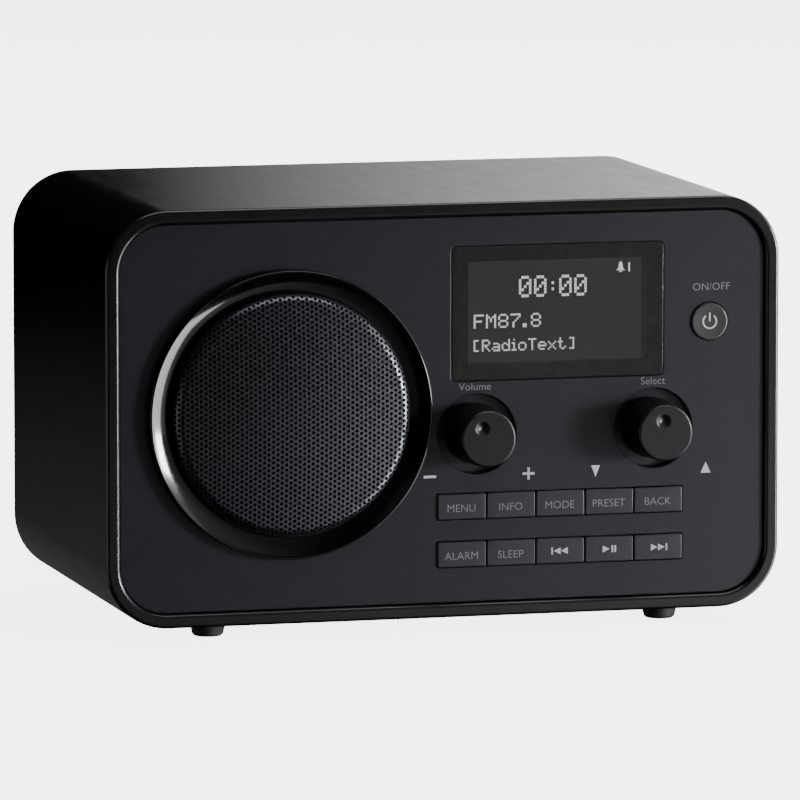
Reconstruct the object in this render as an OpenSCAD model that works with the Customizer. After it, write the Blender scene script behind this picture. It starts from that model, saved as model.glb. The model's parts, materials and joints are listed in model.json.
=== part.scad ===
// Tabletop radio with a wooden sleeve cabinet, a single speaker, a display, two dials,
// ten keys, a power button and a folding telescopic antenna at the back.
// +X is to the right of someone facing the radio, the front looks towards -Y, +Z is up.
// The origin is at the centre of the footprint, on the surface that the feet stand on.

/* [Cabinet] */
// Width of the cabinet
cab_w = 250; // [236:1:320]
// Height of the cabinet without its feet
cab_h = 150; // [138:1:220]
// Depth of the cabinet
cab_d = 152; // [126:1:220]
// Outside corner radius of the cabinet
corner_r = 22.5; // [20:0.5:28]
// Thickness of the cabinet's wall
wall_t = 9; // [8:0.5:10]
// Width of the rim round the front and rear panels
rim_w = 5; // [4:0.5:6]
// Rounding of the rim's edges
rim_round = 1.3; // [0.5:0.1:1.8]
// Radius of the lugs that the panel screws run in
lug_r = 5.5; // [4.5:0.5:6.5]

/* [Feet] */
// Height of the feet
foot_h = 5; // [3:0.5:12]
// Radius of a foot where it meets the cabinet
foot_r = 6.5; // [5:0.5:9]
// Distance of the feet from the cabinet's sides
foot_inset_x = 40.5; // [25:0.5:60]
// Distance of the feet from the cabinet's front and back
foot_inset_y = 15; // [12:0.5:30]

/* [Front panel] */
// Depth of the front panel's face behind the rim
panel_set = 2; // [1:0.1:3]
// Thickness of the front panel
panel_t = 3; // [2.5:0.1:4]

/* [Speaker] */
// Outside radius of the trim ring
ring_r = 52.3; // [42:0.1:53]
// Width of the trim ring's dished face
ring_w = 8.3; // [7:0.1:10]
// How far the trim ring stands proud of the front panel
ring_proud = 3.5; // [2:0.1:5]
// Gap between the cabinet's side and the trim ring
ring_margin = 15.4; // [12:0.1:24]
// Height of the grille's straight skirt in front of the panel
skirt_h = 2.6; // [1:0.1:4]
// Rounding of the grille's shoulder
shoulder_r = 4; // [3:0.1:5]
// How far the grille's crown rises over its shoulder
crown_h = 2.4; // [1:0.1:4]
// Thickness of the grille's metal
grille_t = 0.8; // [0.6:0.1:1]
// Radius of the voice coil's former
coil_r = 12.8; // [11:0.1:14]
// Depth of the speaker from its flange to its top plate
basket_h = 24; // [22:0.5:30]
// Radius of the ferrite magnet
magnet_r = 35; // [30:0.5:38]
// Thickness of the ferrite magnet
magnet_t = 12; // [8:0.5:20]
// Travel of the cone each way
cone_travel = 1.5; // [0.5:0.1:1.5]

/* [Display] */
// Width of the display window
window_w = 79; // [68:0.5:82]
// Height of the display window
window_h = 48.3; // [40:0.1:50]
// Width of the clear opening behind the window
view_w = 66.2; // [50:0.1:67]
// Height of the clear opening behind the window
view_h = 37.2; // [30:0.1:38]
// Depth of the display behind the window's face
view_depth = 6.5; // [4:0.1:8]

/* [Dials] */
// Radius of a dial's face
dial_r = 10.25; // [9:0.05:11]
// Radius of a dial at its base
dial_base_r = 11; // [10:0.05:12]
// Distance from the front panel to a dial's face
dial_proud = 16; // [12:0.5:20]
// Radius of the round well that a dial stands in
well_r = 14.5; // [13:0.1:16]
// Depth of the well
well_depth = 4; // [3:0.5:5]
// Radius of an encoder's shaft
shaft_r = 3; // [2.5:0.1:3.5]
// Push travel of the select dial
push_travel = 0.5; // [0.3:0.1:0.8]

/* [Keys] */
// Distance between the middles of neighbouring keys
key_pitch = 18.4; // [15.4:0.1:18.8]
// Height of a key
key_h = 9.1; // [7.5:0.1:10]
// Gap between neighbouring keys
key_gap = 0.55; // [0.4:0.05:0.8]
// How far a key stands proud of the front panel
key_proud = 0.9; // [0.5:0.1:2]
// Travel of a key
key_travel = 0.8; // [0.3:0.1:1]
// Radius of the power button
power_r = 6.75; // [5.5:0.05:7]

/* [Back] */
// Depth of the rear panel's face inside the rear rim
rear_set = 1; // [0.5:0.1:2]
// Thickness of the rear panel
rear_t = 3; // [2.5:0.1:4]
// Radius of a 3.5 mm jack's bore
jack_r = 1.8; // [1.75:0.01:1.85]
// Length of a 3.5 mm jack's bore
jack_l = 14; // [12:0.5:15]
// Inside radius of the bass port
port_r = 14; // [10:0.5:18]
// Length of the bass port
port_l = 60; // [30:1:80]

/* [Antenna] */
// Length of the folded antenna
mast_l = 150; // [100:1:160]
// Outside radius of the antenna's widest section
mast_r = 3.25; // [3:0.05:3.5]
// Wall of an antenna section
mast_wall = 0.4; // [0.3:0.05:0.45]
// Distance from the antenna's turning point to the cabinet's side
mast_inset_x = 30; // [26:1:50]
// Distance from the antenna's turning point to the cabinet's top
mast_inset_z = 20; // [16:1:40]

/* [Hidden] */
$fn = 72;

// Clearances and small standard sizes
fit = 0.25;          // between a moving key and its hole, and round the panels
run_fit = 0.05;      // radial clearance of a shaft in its bearing
sheet_fit = 0.3;     // radial clearance between trims that don't touch
over = 1;            // how far a cutting solid runs past what it cuts
board_t = 1.6;       // thickness of a circuit board
screw_r = 1.5;       // radius of a panel screw's shank
screw_head_r = 2.8;  // radius of a panel screw's head
screw_head_h = 1.8;  // height of a panel screw's head
screw_fit = 0.1;     // radial clearance round a screw

// Where things lie in depth, counted backwards from the front of the rim
panel_back = panel_set + panel_t;
cab_mid_z = foot_h + cab_h / 2;
yoke_reach = 8;                           // from the rear panel's face to the antenna's axis
mast_depth = cab_d - rear_set + yoke_reach;
rear_out = mast_depth + mast_r - cab_d;   // how far the antenna stands out behind
front_out = dial_proud - panel_set;       // how far the dials stand out in front
front_y = -(cab_d + rear_out - front_out) / 2;
rear_face = cab_d - rear_set;
rear_inner = rear_face - rear_t;
panel_r = corner_r - rim_w - fit;
panel_w = cab_w - 2 * (rim_w + fit);
panel_h = cab_h - 2 * (rim_w + fit);
inner_r = corner_r - wall_t;
lug_bite = 1.5;                            // how far a lug grows into the wall
lug_at = (inner_r - lug_r + lug_bite) * cos(45);
lug_x = cab_w / 2 - corner_r + lug_at;
lug_z = cab_h / 2 - corner_r + lug_at;
front_lug_l = 9;
rear_lug_l = 12;

// Speaker: seats and radii follow the trim ring
speaker_x = -cab_w / 2 + ring_margin + ring_r;
speaker_z = 0.4;
ring_bore = ring_r - ring_w;
ring_lip = 1.3;                            // rounding of the ring's front lip
ring_seat = 1;                             // how far the ring's bore edge stands proud of the panel
grille_r = ring_bore - sheet_fit;
speaker_hole = ring_bore + 2;
grille_flange_r = speaker_hole + 1.5;
gasket_t = 2.2;
flange_t = 1.5;
flange_depth = panel_back + grille_t + gasket_t;
flange_r = speaker_hole + 0.5;
flange_bore = ring_bore - 2.5;
surround_lip = 2;
surround_t = 0.8;
tab_at = flange_r + 5;
tab_r = 5;
boss_r = 3.5;
cone_r = flange_bore - 8;
cone_neck = flange_depth + 14;
cone_t = 0.8;
plate_depth = flange_depth + basket_h;
plate_t = 4;
plate_r = magnet_r - 3;
back_plate_depth = plate_depth + plate_t + magnet_t;
pole_r = coil_r - 0.9;
coil_end = plate_depth + plate_t + 2 * cone_travel;
spider_depth = cone_neck + cone_t + cone_travel + 0.4;
spider_r = 27;
spider_t = 0.6;
shelf_t = 1.2;
basket_back_r = plate_r - 4;
basket_t = 1.5;
// The basket's inner wall runs straight from its flange to its back, and the spider's shelf ends in it
shelf_r = flange_bore + (basket_back_r - flange_bore) * (spider_depth - flange_depth) / basket_h + basket_t / 2;
wire_r = 0.8;
wire_turns = [-36, -30];                   // where the two wires leave the flange
wire_at = max(flange_r - 2, magnet_r + wire_r + 1);

// Display
display_x = cab_w / 2 - 82.75;
display_z = 34.6;
window_t = 1.5;
window_proud = 0.3;
window_r = 1.8;
window_back = panel_set - window_proud + window_t;
lcd_depth = panel_set - window_proud + view_depth;
lcd_t = 2.5;
shroud_flange = 2.5;
display_board_w = window_w - 2;

// Dials and the control board
volume_x = cab_w / 2 - 112.8;
select_x = cab_w / 2 - 46.8;
dial_z = -8.9;
dial_back = panel_set + well_depth - 1.5;
dial_bore_d = 14;
well_floor_t = 1.6;
well_floor_back = panel_set + well_depth + well_floor_t;
well_wall = 1.6;
encoder_w = 12;
encoder_front = well_floor_back + 0.6;
control_depth = encoder_front + 6.5;
bushing_r = shaft_r + 0.5;
dimple_r = 2.6;
dimple_at = 4.5;
dimple_turns = [120, 100];                 // where each dial's dimple stands at rest
shaft_end = encoder_front + 4;
flat_h = shaft_r - 0.8;

// Keys
keys_x = cab_w / 2 - 81.85;
row_top_z = -35;
row_gap = 17.3;
keys_in_row = 5;
key_w = key_pitch - key_gap;
slot_w = keys_in_row * key_pitch - key_gap + 2 * fit;
slot_h = key_h + 2 * fit;
key_flange = 1.2;
key_flange_t = 1;
key_stop = 0.1;                            // from a resting key's flange to the panel's back
nub_r = 1.5;
switch_gap = 0.1;
nub_depth = panel_back + key_stop + key_flange_t + 1.4;
switch_top = nub_depth + key_travel + switch_gap;
power_x = cab_w / 2 - 25.9;
power_z = 29.25;
post_r = 2.4;
board_left = volume_x - encoder_w;
board_right = keys_x + slot_w / 2 + 1;
board_low = row_top_z - row_gap - key_h / 2 - 3;
board_high = dial_z + encoder_w;

// Back
board_gap = 12;                            // from the main board to the rear panel
main_w = 110;
main_h = 62;
main_x = -22;
main_z = -18;
main_depth = rear_inner - board_gap - board_t;
jack_z = -36;
jack_x = [-60, -44, -24];                  // headphone, line in, power inlet
jack_body = [11, 12];
nose_r = 3.6;
inlet_r = 2.85;
inlet_pin_r = 1.05;
inlet_w = 9;
port_x = cab_w / 2 - 62;
port_z = -14;
port_wall = 2;
port_lip = 4;
port_round = 2;

// Antenna
mast_x = cab_w / 2 - mast_inset_x;
mast_z = cab_h / 2 - mast_inset_z;
base_r = 9;
base_t = 3;
yoke_t = 1.6;
ear_t = 1.8;
knuckle_h = 6.4;
knuckle_r = 3.2;
pin_r = 1.2;
ear_gap = 0.12;
mast_start = 5;                            // from the turning point to the first section
section_step = mast_wall + run_fit;        // how much each section is thinner than the last
cap_l = 6;

// ---- helpers ----

// Children drawn in X and Z, with local +Z towards the front, at a depth behind the rim
module at_depth(d) translate([0, front_y + d, cab_mid_z]) rotate([90, 0, 0]) children();

// A flat piece between two depths, from a drawing in X and Z
module slab(d0, d1) at_depth(d1) linear_extrude(d1 - d0) children();

// A turned piece about an axis that runs front to back
module turned(x, z) at_depth(0) translate([x, z, 0]) rotate_extrude() children();

// A rectangle for a turned profile: radii r0 to r1, depths d0 to d1
module band(r0, r1, d0, d1) translate([r0, -d1]) square([r1 - r0, d1 - d0]);

module rounded(w, h, r) {
    square([w - 2 * r, h], center = true);
    square([w, h - 2 * r], center = true);
    for (x = [-1, 1], z = [-1, 1]) translate([x * (w / 2 - r), z * (h / 2 - r)]) circle(r);
}

// The waste that rounds an edge at (x, y); turn says which way the material lies
module nip(x, y, turn, r) translate([x, y]) rotate(turn) difference() {
    translate([-over, -over]) square(r + over);
    translate([r, r]) circle(r);
}

// A wall profile, drawn as radius and forward distance, carried round a rounded rectangle
module carried_round(w, h, r) {
    a = w / 2 - r;
    b = h / 2 - r;
    translate([a, b, 0]) rotate_extrude(angle = 90) children();
    translate([-a, b, 0]) rotate([0, 0, 90]) rotate_extrude(angle = 90) children();
    translate([-a, -b, 0]) rotate([0, 0, 180]) rotate_extrude(angle = 90) children();
    translate([a, -b, 0]) rotate([0, 0, 270]) rotate_extrude(angle = 90) children();
    translate([-a, b, 0]) rotate([90, 0, 90]) linear_extrude(2 * a) children();
    translate([a, -b, 0]) rotate([90, 0, -90]) linear_extrude(2 * a) children();
    translate([a, b, 0]) rotate([90, 0, 0]) linear_extrude(2 * b) children();
    translate([-a, -b, 0]) rotate([90, 0, 180]) linear_extrude(2 * b) children();
}

module at_corners(x, z) for (i = [-1, 1], k = [-1, 1]) translate([i * x, k * z]) children();

// A screw whose head lies at depths from head_d backwards and whose shank runs forward to tip_d
module screw(x, z, head_d, tip_d) turned(x, z) {
    band(0, screw_head_r, head_d, head_d + screw_head_h);
    band(0, screw_r, tip_d, head_d);
}

// ---- cabinet ----

module cabinet() color("#141416") difference() {
    union() {
        at_depth(0) carried_round(cab_w, cab_h, corner_r) difference() {
            translate([inner_r, -cab_d]) square([wall_t, cab_d]);
            translate([inner_r - over, -panel_back]) square([wall_t - rim_w + over, panel_back + over]);
            translate([inner_r - over, -cab_d - over])
                square([wall_t - rim_w + over, rear_set + rear_t + over]);
            nip(corner_r, 0, 180, rim_round);
            nip(corner_r - rim_w, 0, 270, rim_round);
            nip(corner_r, -cab_d, 90, rim_round);
        }
        slab(panel_back, panel_back + front_lug_l) at_corners(lug_x, lug_z) circle(lug_r);
        slab(rear_inner - rear_lug_l, rear_inner) at_corners(lug_x, lug_z) circle(lug_r);
    }
    slab(panel_back - over, panel_back + front_lug_l + over) at_corners(lug_x, lug_z) circle(screw_r + screw_fit);
    slab(rear_inner - rear_lug_l + 3, rear_inner + over) at_corners(lug_x, lug_z) circle(screw_r + screw_fit);
    for (i = [-1, 1], k = [0, 1]) foot_place(i, k) translate([0, 0, foot_h - over])
        cylinder(r = screw_r + screw_fit, h = wall_t - 2 + over);
}

module front_screws() color("#9a9a9a") for (i = [-1, 1], k = [-1, 1])
    screw(i * lug_x, k * lug_z, panel_back + front_lug_l, panel_set + 1);

// ---- feet ----

// i is -1 or 1 for left or right, k is 0 or 1 for front or back
module foot_place(i, k)
    translate([i * (cab_w / 2 - foot_inset_x), front_y + (k == 0 ? foot_inset_y : cab_d - foot_inset_y), 0])
        children();

module feet() color("#0b0b0b") for (i = [-1, 1], k = [0, 1]) foot_place(i, k) rotate_extrude() difference() {
    polygon([[0, 0], [foot_r - 1.6, 0], [foot_r - 0.8, 0.8], [foot_r, foot_h], [0, foot_h]]);
    square([screw_head_r + 0.4, foot_h / 2]);
    square([screw_r + screw_fit, foot_h]);
}

module foot_screws() color("#9a9a9a") for (i = [-1, 1], k = [0, 1]) foot_place(i, k) {
    translate([0, 0, foot_h / 2 - screw_head_h]) cylinder(r = screw_head_r, h = screw_head_h);
    translate([0, 0, foot_h / 2]) cylinder(r = screw_r, h = foot_h / 2 + wall_t - 3);
}

// ---- front panel ----

module front_panel() color("#25252c") difference() {
    union() {
        slab(panel_set, panel_back) rounded(panel_w, panel_h, panel_r);
        slab(panel_back, well_floor_back) translate([volume_x, dial_z]) circle(well_r + well_wall);
        slab(panel_back, well_floor_back) translate([select_x, dial_z]) circle(well_r + well_wall);
        slab(panel_back, flange_depth) speaker_tabs() circle(boss_r);
        slab(panel_back, control_depth) control_posts() circle(post_r);
    }
    slab(panel_set - over, panel_back + over) translate([speaker_x, speaker_z]) circle(speaker_hole);
    slab(panel_set - over, panel_back + over) translate([display_x, display_z])
        rounded(window_w + 2 * fit, window_h + 2 * fit, window_r + fit);
    for (x = [volume_x, select_x]) {
        slab(panel_set - over, panel_set + well_depth) translate([x, dial_z]) circle(well_r);
        slab(panel_set, well_floor_back + over) translate([x, dial_z]) circle(bushing_r + fit);
    }
    for (row = [0, 1]) slab(panel_set - over, panel_back + over)
        translate([keys_x, row_top_z - row * row_gap]) square([slot_w, slot_h], center = true);
    slab(panel_set - over, panel_back + over) translate([power_x, power_z]) circle(power_r + fit);
    slab(panel_set + 1, panel_back + over) at_corners(lug_x, lug_z) circle(screw_r + screw_fit);
    slab(panel_back - 1.5, flange_depth + over) speaker_tabs() circle(screw_r);
    slab(panel_back + 1, control_depth + over) control_posts() circle(screw_r);
}

module speaker_tabs() for (a = [45:90:315])
    translate([speaker_x + tab_at * cos(a), speaker_z + tab_at * sin(a)]) children();

// ---- speaker ----

module speaker_ring() color("#0d0d0d") turned(speaker_x, speaker_z) difference() {
    polygon([
        [ring_bore, -panel_set], [ring_r, -panel_set], [ring_r - 0.5, ring_proud - panel_set],
        [ring_r - ring_lip, ring_proud - panel_set], [ring_bore, ring_seat - panel_set]
    ]);
    nip(ring_r - 0.5, ring_proud - panel_set, 180, 0.4);
}

// The grille's wall line, let in by t: up the skirt, round the shoulder and over the crown to the axis
function grille_line(t) =
    let (
        front = skirt_h - panel_set - t,
        round_r = shoulder_r - t,
        flat = grille_r - t - round_r,
        crown_r = (flat * flat + crown_h * crown_h) / (2 * crown_h)
    )
    concat(
        [for (a = [0:10:90]) [flat + round_r * cos(a), front + round_r * sin(a)]],
        [for (i = [1:12]) let (x = flat * (1 - i / 12))
            [x, front + round_r + crown_h - crown_r + sqrt(crown_r * crown_r - x * x)]]
    );

function reversed(list) = [for (i = [len(list) - 1:-1:0]) list[i]];

// A domed cap with a flange behind the front panel
module grille() color("#5a5c62") turned(speaker_x, speaker_z) polygon(concat(
    [
        [grille_r - grille_t, -panel_back - grille_t], [grille_flange_r, -panel_back - grille_t],
        [grille_flange_r, -panel_back], [grille_r, -panel_back]
    ],
    grille_line(0),
    reversed(grille_line(grille_t))
));

module grille_cloth() color("#050505") turned(speaker_x, speaker_z)
    band(0, grille_r - grille_t, panel_set - 1.3, panel_set - 0.8);

module speaker_gasket() color("#1c1c1c") turned(speaker_x, speaker_z)
    band(flange_bore + surround_lip, flange_r, panel_back + grille_t, flange_depth);

module speaker_basket() color("#2b2b2b") difference() {
    union() {
        turned(speaker_x, speaker_z) {
            band(flange_bore, flange_r, flange_depth, flange_depth + flange_t);
            polygon([
                [flange_bore, -flange_depth], [flange_bore + basket_t, -flange_depth - flange_t],
                [basket_back_r + basket_t, -plate_depth], [basket_back_r, -plate_depth]
            ]);
            band(coil_r + 6, basket_back_r + 1, plate_depth - 1.2, plate_depth);
            band(spider_r, shelf_r, spider_depth + spider_t, spider_depth + spider_t + shelf_t);
        }
        slab(flange_depth, flange_depth + flange_t) speaker_tabs() circle(tab_r);
    }
    slab(flange_depth - over, flange_depth + flange_t + over) speaker_tabs() circle(screw_r + screw_fit);
    for (a = [0:90:270]) at_depth(plate_depth - 4) translate([speaker_x, speaker_z, 0])
        rotate([0, 0, a]) translate([basket_back_r - 2, -9, 0]) cube([30, 18, 3]);
}

module speaker_screws() color("#9a9a9a") for (a = [45:90:315])
    screw(speaker_x + tab_at * cos(a), speaker_z + tab_at * sin(a), flange_depth + flange_t, panel_back - 1);

// Two flat lips, glued to the basket and to the cone, with a half roll between them
module speaker_surround() color("#161616") turned(speaker_x, speaker_z) {
    inner = cone_r + 1;
    outer = flange_bore - 0.5;
    roll_r = (outer - inner) / 2;
    band(outer, flange_bore + surround_lip, flange_depth - surround_t, flange_depth);
    band(cone_r - 1.5, inner, flange_depth - surround_t, flange_depth);
    difference() {
        translate([(outer + inner) / 2, -flange_depth]) difference() {
            circle(roll_r + surround_t / 2);
            circle(roll_r - surround_t / 2);
        }
        translate([0, -flange_depth - 2 * cone_r]) square([flange_r, 2 * cone_r]);
    }
}

module speaker_cone() color("#1e1e1e") turned(speaker_x, speaker_z) polygon([
    [cone_r, -flange_depth], [cone_r - 1.5, -flange_depth], [coil_r, -cone_neck],
    [coil_r, -cone_neck - cone_t], [coil_r + 0.6, -cone_neck - cone_t], [cone_r, -flange_depth - cone_t]
]);

module dust_cap() color("#121212") turned(speaker_x, speaker_z) {
    dome_r = 2 * coil_r;
    rise = dome_r - sqrt(dome_r * dome_r - coil_r * coil_r);
    difference() {
        intersection() {
            translate([0, -cone_neck + rise - dome_r]) circle(dome_r);
            translate([0, -cone_neck]) square([coil_r, rise + over]);
        }
        intersection() {
            translate([0, -cone_neck + rise - dome_r - 0.6]) circle(dome_r);
            translate([0, -cone_neck - over]) square([coil_r - 0.8, rise + over]);
        }
    }
}

module voice_coil() color("#b87333") turned(speaker_x, speaker_z) {
    band(coil_r - 0.25, coil_r, cone_neck, coil_end);
    band(coil_r, coil_r + 0.45, plate_depth - 1, coil_end);
}

module speaker_spider() color("#b58a4a") turned(speaker_x, speaker_z)
    band(coil_r, spider_r + 1.5, spider_depth, spider_depth + spider_t);

// Two turned plates: the top plate, and the back plate with its pole
module motor_plates() color("#8e8e90") turned(speaker_x, speaker_z) {
    band(coil_r + 0.95, plate_r, plate_depth, plate_depth + plate_t);
    band(0, plate_r, back_plate_depth, back_plate_depth + plate_t);
    band(0, pole_r, plate_depth, back_plate_depth);
}

module speaker_magnet() color("#3a3a3c") turned(speaker_x, speaker_z)
    band(coil_r + 5, magnet_r, plate_depth + plate_t, back_plate_depth);

// Two wires from the speaker's flange back to the main board
module speaker_wires() color("#7a1f1f") for (a = wire_turns)
    turned(speaker_x + wire_at * cos(a), speaker_z + wire_at * sin(a))
        band(0, wire_r, flange_depth + flange_t, main_depth);

// ---- display ----

module display_window() color("#262626") slab(panel_set - window_proud, window_back)
    translate([display_x, display_z]) rounded(window_w, window_h, window_r);

// The dark tunnel between window and display, with a flange that seats on the panel's back
module display_shroud() color("#101010") difference() {
    union() {
        slab(window_back, lcd_depth) translate([display_x, display_z]) rounded(window_w, window_h, window_r);
        slab(panel_back, panel_back + 1.2) translate([display_x, display_z])
            rounded(window_w + 2 * shroud_flange, window_h + 2 * shroud_flange, window_r + shroud_flange);
    }
    slab(window_back - over, lcd_depth + over) translate([display_x, display_z])
        square([view_w, view_h], center = true);
}

module lcd_panel() color("#323232") slab(lcd_depth, lcd_depth + lcd_t) translate([display_x, display_z])
    square([view_w + 5, view_h + 6], center = true);

module display_board() color("#1d5a32") slab(lcd_depth + lcd_t, lcd_depth + lcd_t + board_t)
    translate([display_x, display_z]) square([display_board_w, window_h], center = true);

// ---- dials ----

// A dial's knob, with a dimple in its face and a D-shaped bore
module knob(x, dimple_turn) color("#202024") difference() {
    turned(x, dial_z) difference() {
        polygon([
            [0, -dial_back], [dial_base_r, -dial_back], [dial_base_r, -dial_back + 2],
            [dial_r + 0.1, front_out - 0.9], [dial_r - 0.7, front_out], [0, front_out]
        ]);
        translate([0, -dial_back - over]) square([dial_base_r - 2.2, dial_back - panel_set + 2]);
    }
    at_depth(0) translate([x + dimple_at * cos(dimple_turn), dial_z + dimple_at * sin(dimple_turn), 0])
        translate([0, 0, front_out + dimple_r * 0.75]) sphere(dimple_r * 1.25);
    at_depth(0) translate([x, dial_z, -dial_back - over]) linear_extrude(dial_bore_d + over) d_shape(shaft_r);
}

// The hub that grips the shaft inside the knob's hollow skirt
module knob_hub(x) color("#202024") at_depth(0) translate([x, dial_z, -dial_back]) difference() {
    cylinder(r = shaft_r + 1.6, h = dial_bore_d);
    translate([0, 0, -over]) linear_extrude(dial_bore_d + over) d_shape(shaft_r);
}

module d_shape(r) difference() {
    circle(r);
    translate([flat_h, -r - over]) square(2 * (r + over));
}

module volume_knob() { knob(volume_x, dimple_turns[0]); knob_hub(volume_x); }

module select_knob() { knob(select_x, dimple_turns[1]); knob_hub(select_x); }

// An encoder's shaft: round where it runs in the bushing, flatted where the knob grips it
module encoder_shaft(x) color("#a8a8aa") difference() {
    at_depth(0) translate([x, dial_z, -shaft_end]) cylinder(r = shaft_r, h = shaft_end - dial_back + dial_bore_d);
    at_depth(0) translate([x + flat_h, dial_z - shaft_r - over, -dial_back])
        cube([shaft_r, 2 * (shaft_r + over), dial_bore_d + over]);
}

module volume_shaft() encoder_shaft(volume_x);

module select_shaft() difference() {
    encoder_shaft(select_x);
    turned(select_x, dial_z) band(0, pin_r + run_fit, shaft_end - 1.6, shaft_end + over);
}

// An encoder's housing with a bushing in front and a cavity of the given depth behind the shaft
module encoder(x, cavity_r, cavity_end) color("#8a8a8c") difference() {
    union() {
        slab(encoder_front, control_depth) translate([x, dial_z]) square(encoder_w, center = true);
        slab(panel_set + well_depth + 0.4, encoder_front) translate([x, dial_z]) circle(bushing_r);
    }
    slab(panel_set, shaft_end) translate([x, dial_z]) circle(shaft_r + run_fit);
    slab(shaft_end - 0.6, cavity_end) translate([x, dial_z]) circle(cavity_r);
}

module volume_encoder() encoder(volume_x, shaft_r + run_fit, shaft_end + 0.1);

module select_encoder() encoder(select_x, shaft_r + 1.8, shaft_end + 1 + push_travel + 0.2);

// The plunger that the select shaft turns on and pushes in
module select_plunger() color("#d8d8d8") turned(select_x, dial_z) {
    band(0, shaft_r + 1.5, shaft_end, shaft_end + 1);
    band(0, pin_r, shaft_end - 1.5, shaft_end);
}

// ---- keys ----

module key(column, row) color("#2c2c33") translate([
    keys_x + (column - (keys_in_row - 1) / 2) * key_pitch, 0, row_top_z - row * row_gap
]) {
    slab(panel_set - key_proud, panel_back + key_stop) square([key_w, key_h], center = true);
    slab(panel_back + key_stop, panel_back + key_stop + key_flange_t)
        square([key_w, key_h + 2 * key_flange], center = true);
    slab(panel_back + key_stop + key_flange_t, nub_depth) circle(nub_r);
}

module menu_key() key(0, 0);
module info_key() key(1, 0);
module mode_key() key(2, 0);
module preset_key() key(3, 0);
module back_key() key(4, 0);
module alarm_key() key(0, 1);
module sleep_key() key(1, 1);
module previous_key() key(2, 1);
module play_key() key(3, 1);
module next_key() key(4, 1);

module power_button() color("#4b4b4b") turned(power_x, power_z) {
    band(0, power_r, panel_set - key_proud, panel_back + key_stop);
    band(0, power_r + key_flange, panel_back + key_stop, panel_back + key_stop + key_flange_t);
    band(0, nub_r, panel_back + key_stop + key_flange_t, nub_depth);
}

// ---- boards ----

module control_board() color("#1d5a32") difference() {
    slab(control_depth, control_depth + board_t) {
        translate([board_left, board_low]) square([board_right - board_left, board_high - board_low]);
        translate([board_right - 4, dial_z])
            square([power_x + power_r + 2 - board_right + 4, power_z + power_r - dial_z]);
    }
    slab(control_depth - over, control_depth + board_t + over) control_posts() circle(screw_r + screw_fit);
}

// Where the front panel's posts hold the control board
module control_posts() {
    translate([(volume_x + select_x) / 2, dial_z]) children();
    translate([power_x, power_z - power_r - 10]) children();
    for (i = [-1, 1]) translate([keys_x + i * 1.5 * key_pitch, row_top_z - row_gap / 2]) children();
}

// Where the rear panel's posts hold the main board
module main_posts() for (i = [-1, 1], k = [-1, 1])
    translate([main_x + i * (main_w / 2 - 4), main_z + k * (main_h / 2 - 4)]) children();

module board_screws() color("#9a9a9a") {
    slab(control_depth + board_t, control_depth + board_t + screw_head_h) control_posts() circle(screw_head_r);
    slab(panel_back + 1, control_depth + board_t) control_posts() circle(screw_r);
    slab(main_depth - screw_head_h, main_depth) main_posts() circle(screw_head_r);
    slab(main_depth, rear_inner - 1) main_posts() circle(screw_r);
}

module tact_switch(x, z) {
    slab(control_depth - 3.4, control_depth) translate([x, z]) square(6, center = true);
    slab(switch_top, control_depth - 3.4) translate([x, z]) circle(1.7);
}

module tact_switches() color("#303030") {
    for (row = [0, 1], column = [0:keys_in_row - 1])
        tact_switch(keys_x + (column - (keys_in_row - 1) / 2) * key_pitch, row_top_z - row * row_gap);
    tact_switch(power_x, power_z);
}

module main_board() color("#1d5a32") slab(main_depth, main_depth + board_t) difference() {
    translate([main_x, main_z]) square([main_w, main_h], center = true);
    main_posts() circle(screw_r + screw_fit);
}

module tuner_module() color("#b9babc") slab(main_depth - 5, main_depth)
    translate([main_x + 24, main_z + 10]) square([36, 28], center = true);

module capacitors() color("#2a2f55") for (i = [0:2])
    at_depth(main_depth) translate([main_x - 2 + 14 * i, main_z - 22, 0]) cylinder(r = 4 + 0.5 * i, h = 12);

// A flat cable from the control board straight back to the main board
module ribbon_cable() color("#c9c9c9") {
    width = 18;
    slab(control_depth + board_t, main_depth)
        translate([volume_x - encoder_w + 1, row_top_z - row_gap]) square([width, 0.8]);
}

// A 3.5 mm jack: a body on the main board and a nose through the rear panel
module jack(x) color("#1a1a1a") difference() {
    union() {
        slab(main_depth + board_t, rear_inner) translate([x, jack_z]) square(jack_body, center = true);
        slab(rear_inner, rear_face + 0.6) translate([x, jack_z]) circle(nose_r);
    }
    slab(rear_face + 0.6 - jack_l, rear_face + over) translate([x, jack_z]) circle(jack_r);
}

module headphone_jack() jack(jack_x[0]);

module line_in_jack() jack(jack_x[1]);

module power_inlet() color("#1a1a1a") {
    difference() {
        union() {
            slab(main_depth + board_t, rear_inner) translate([jack_x[2], jack_z])
                square([inlet_w + 2, jack_body[1]], center = true);
            slab(rear_inner, rear_face) translate([jack_x[2], jack_z]) square(inlet_w, center = true);
        }
        slab(rear_face - 9.5, rear_face + over) translate([jack_x[2], jack_z]) circle(inlet_r);
    }
    slab(rear_face - 9.5, rear_face - 0.6) translate([jack_x[2], jack_z]) circle(inlet_pin_r);
}

module bass_port() color("#171717") turned(port_x, port_z) difference() {
    union() {
        band(0, port_r + port_wall, rear_face - port_l, rear_face);
        band(0, port_r + port_lip, rear_face, rear_face + 1);
    }
    band(0, port_r, rear_face - port_l - over, rear_face + 1 + over);
    nip(port_r, -rear_face - 1, 0, port_round);
}

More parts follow.
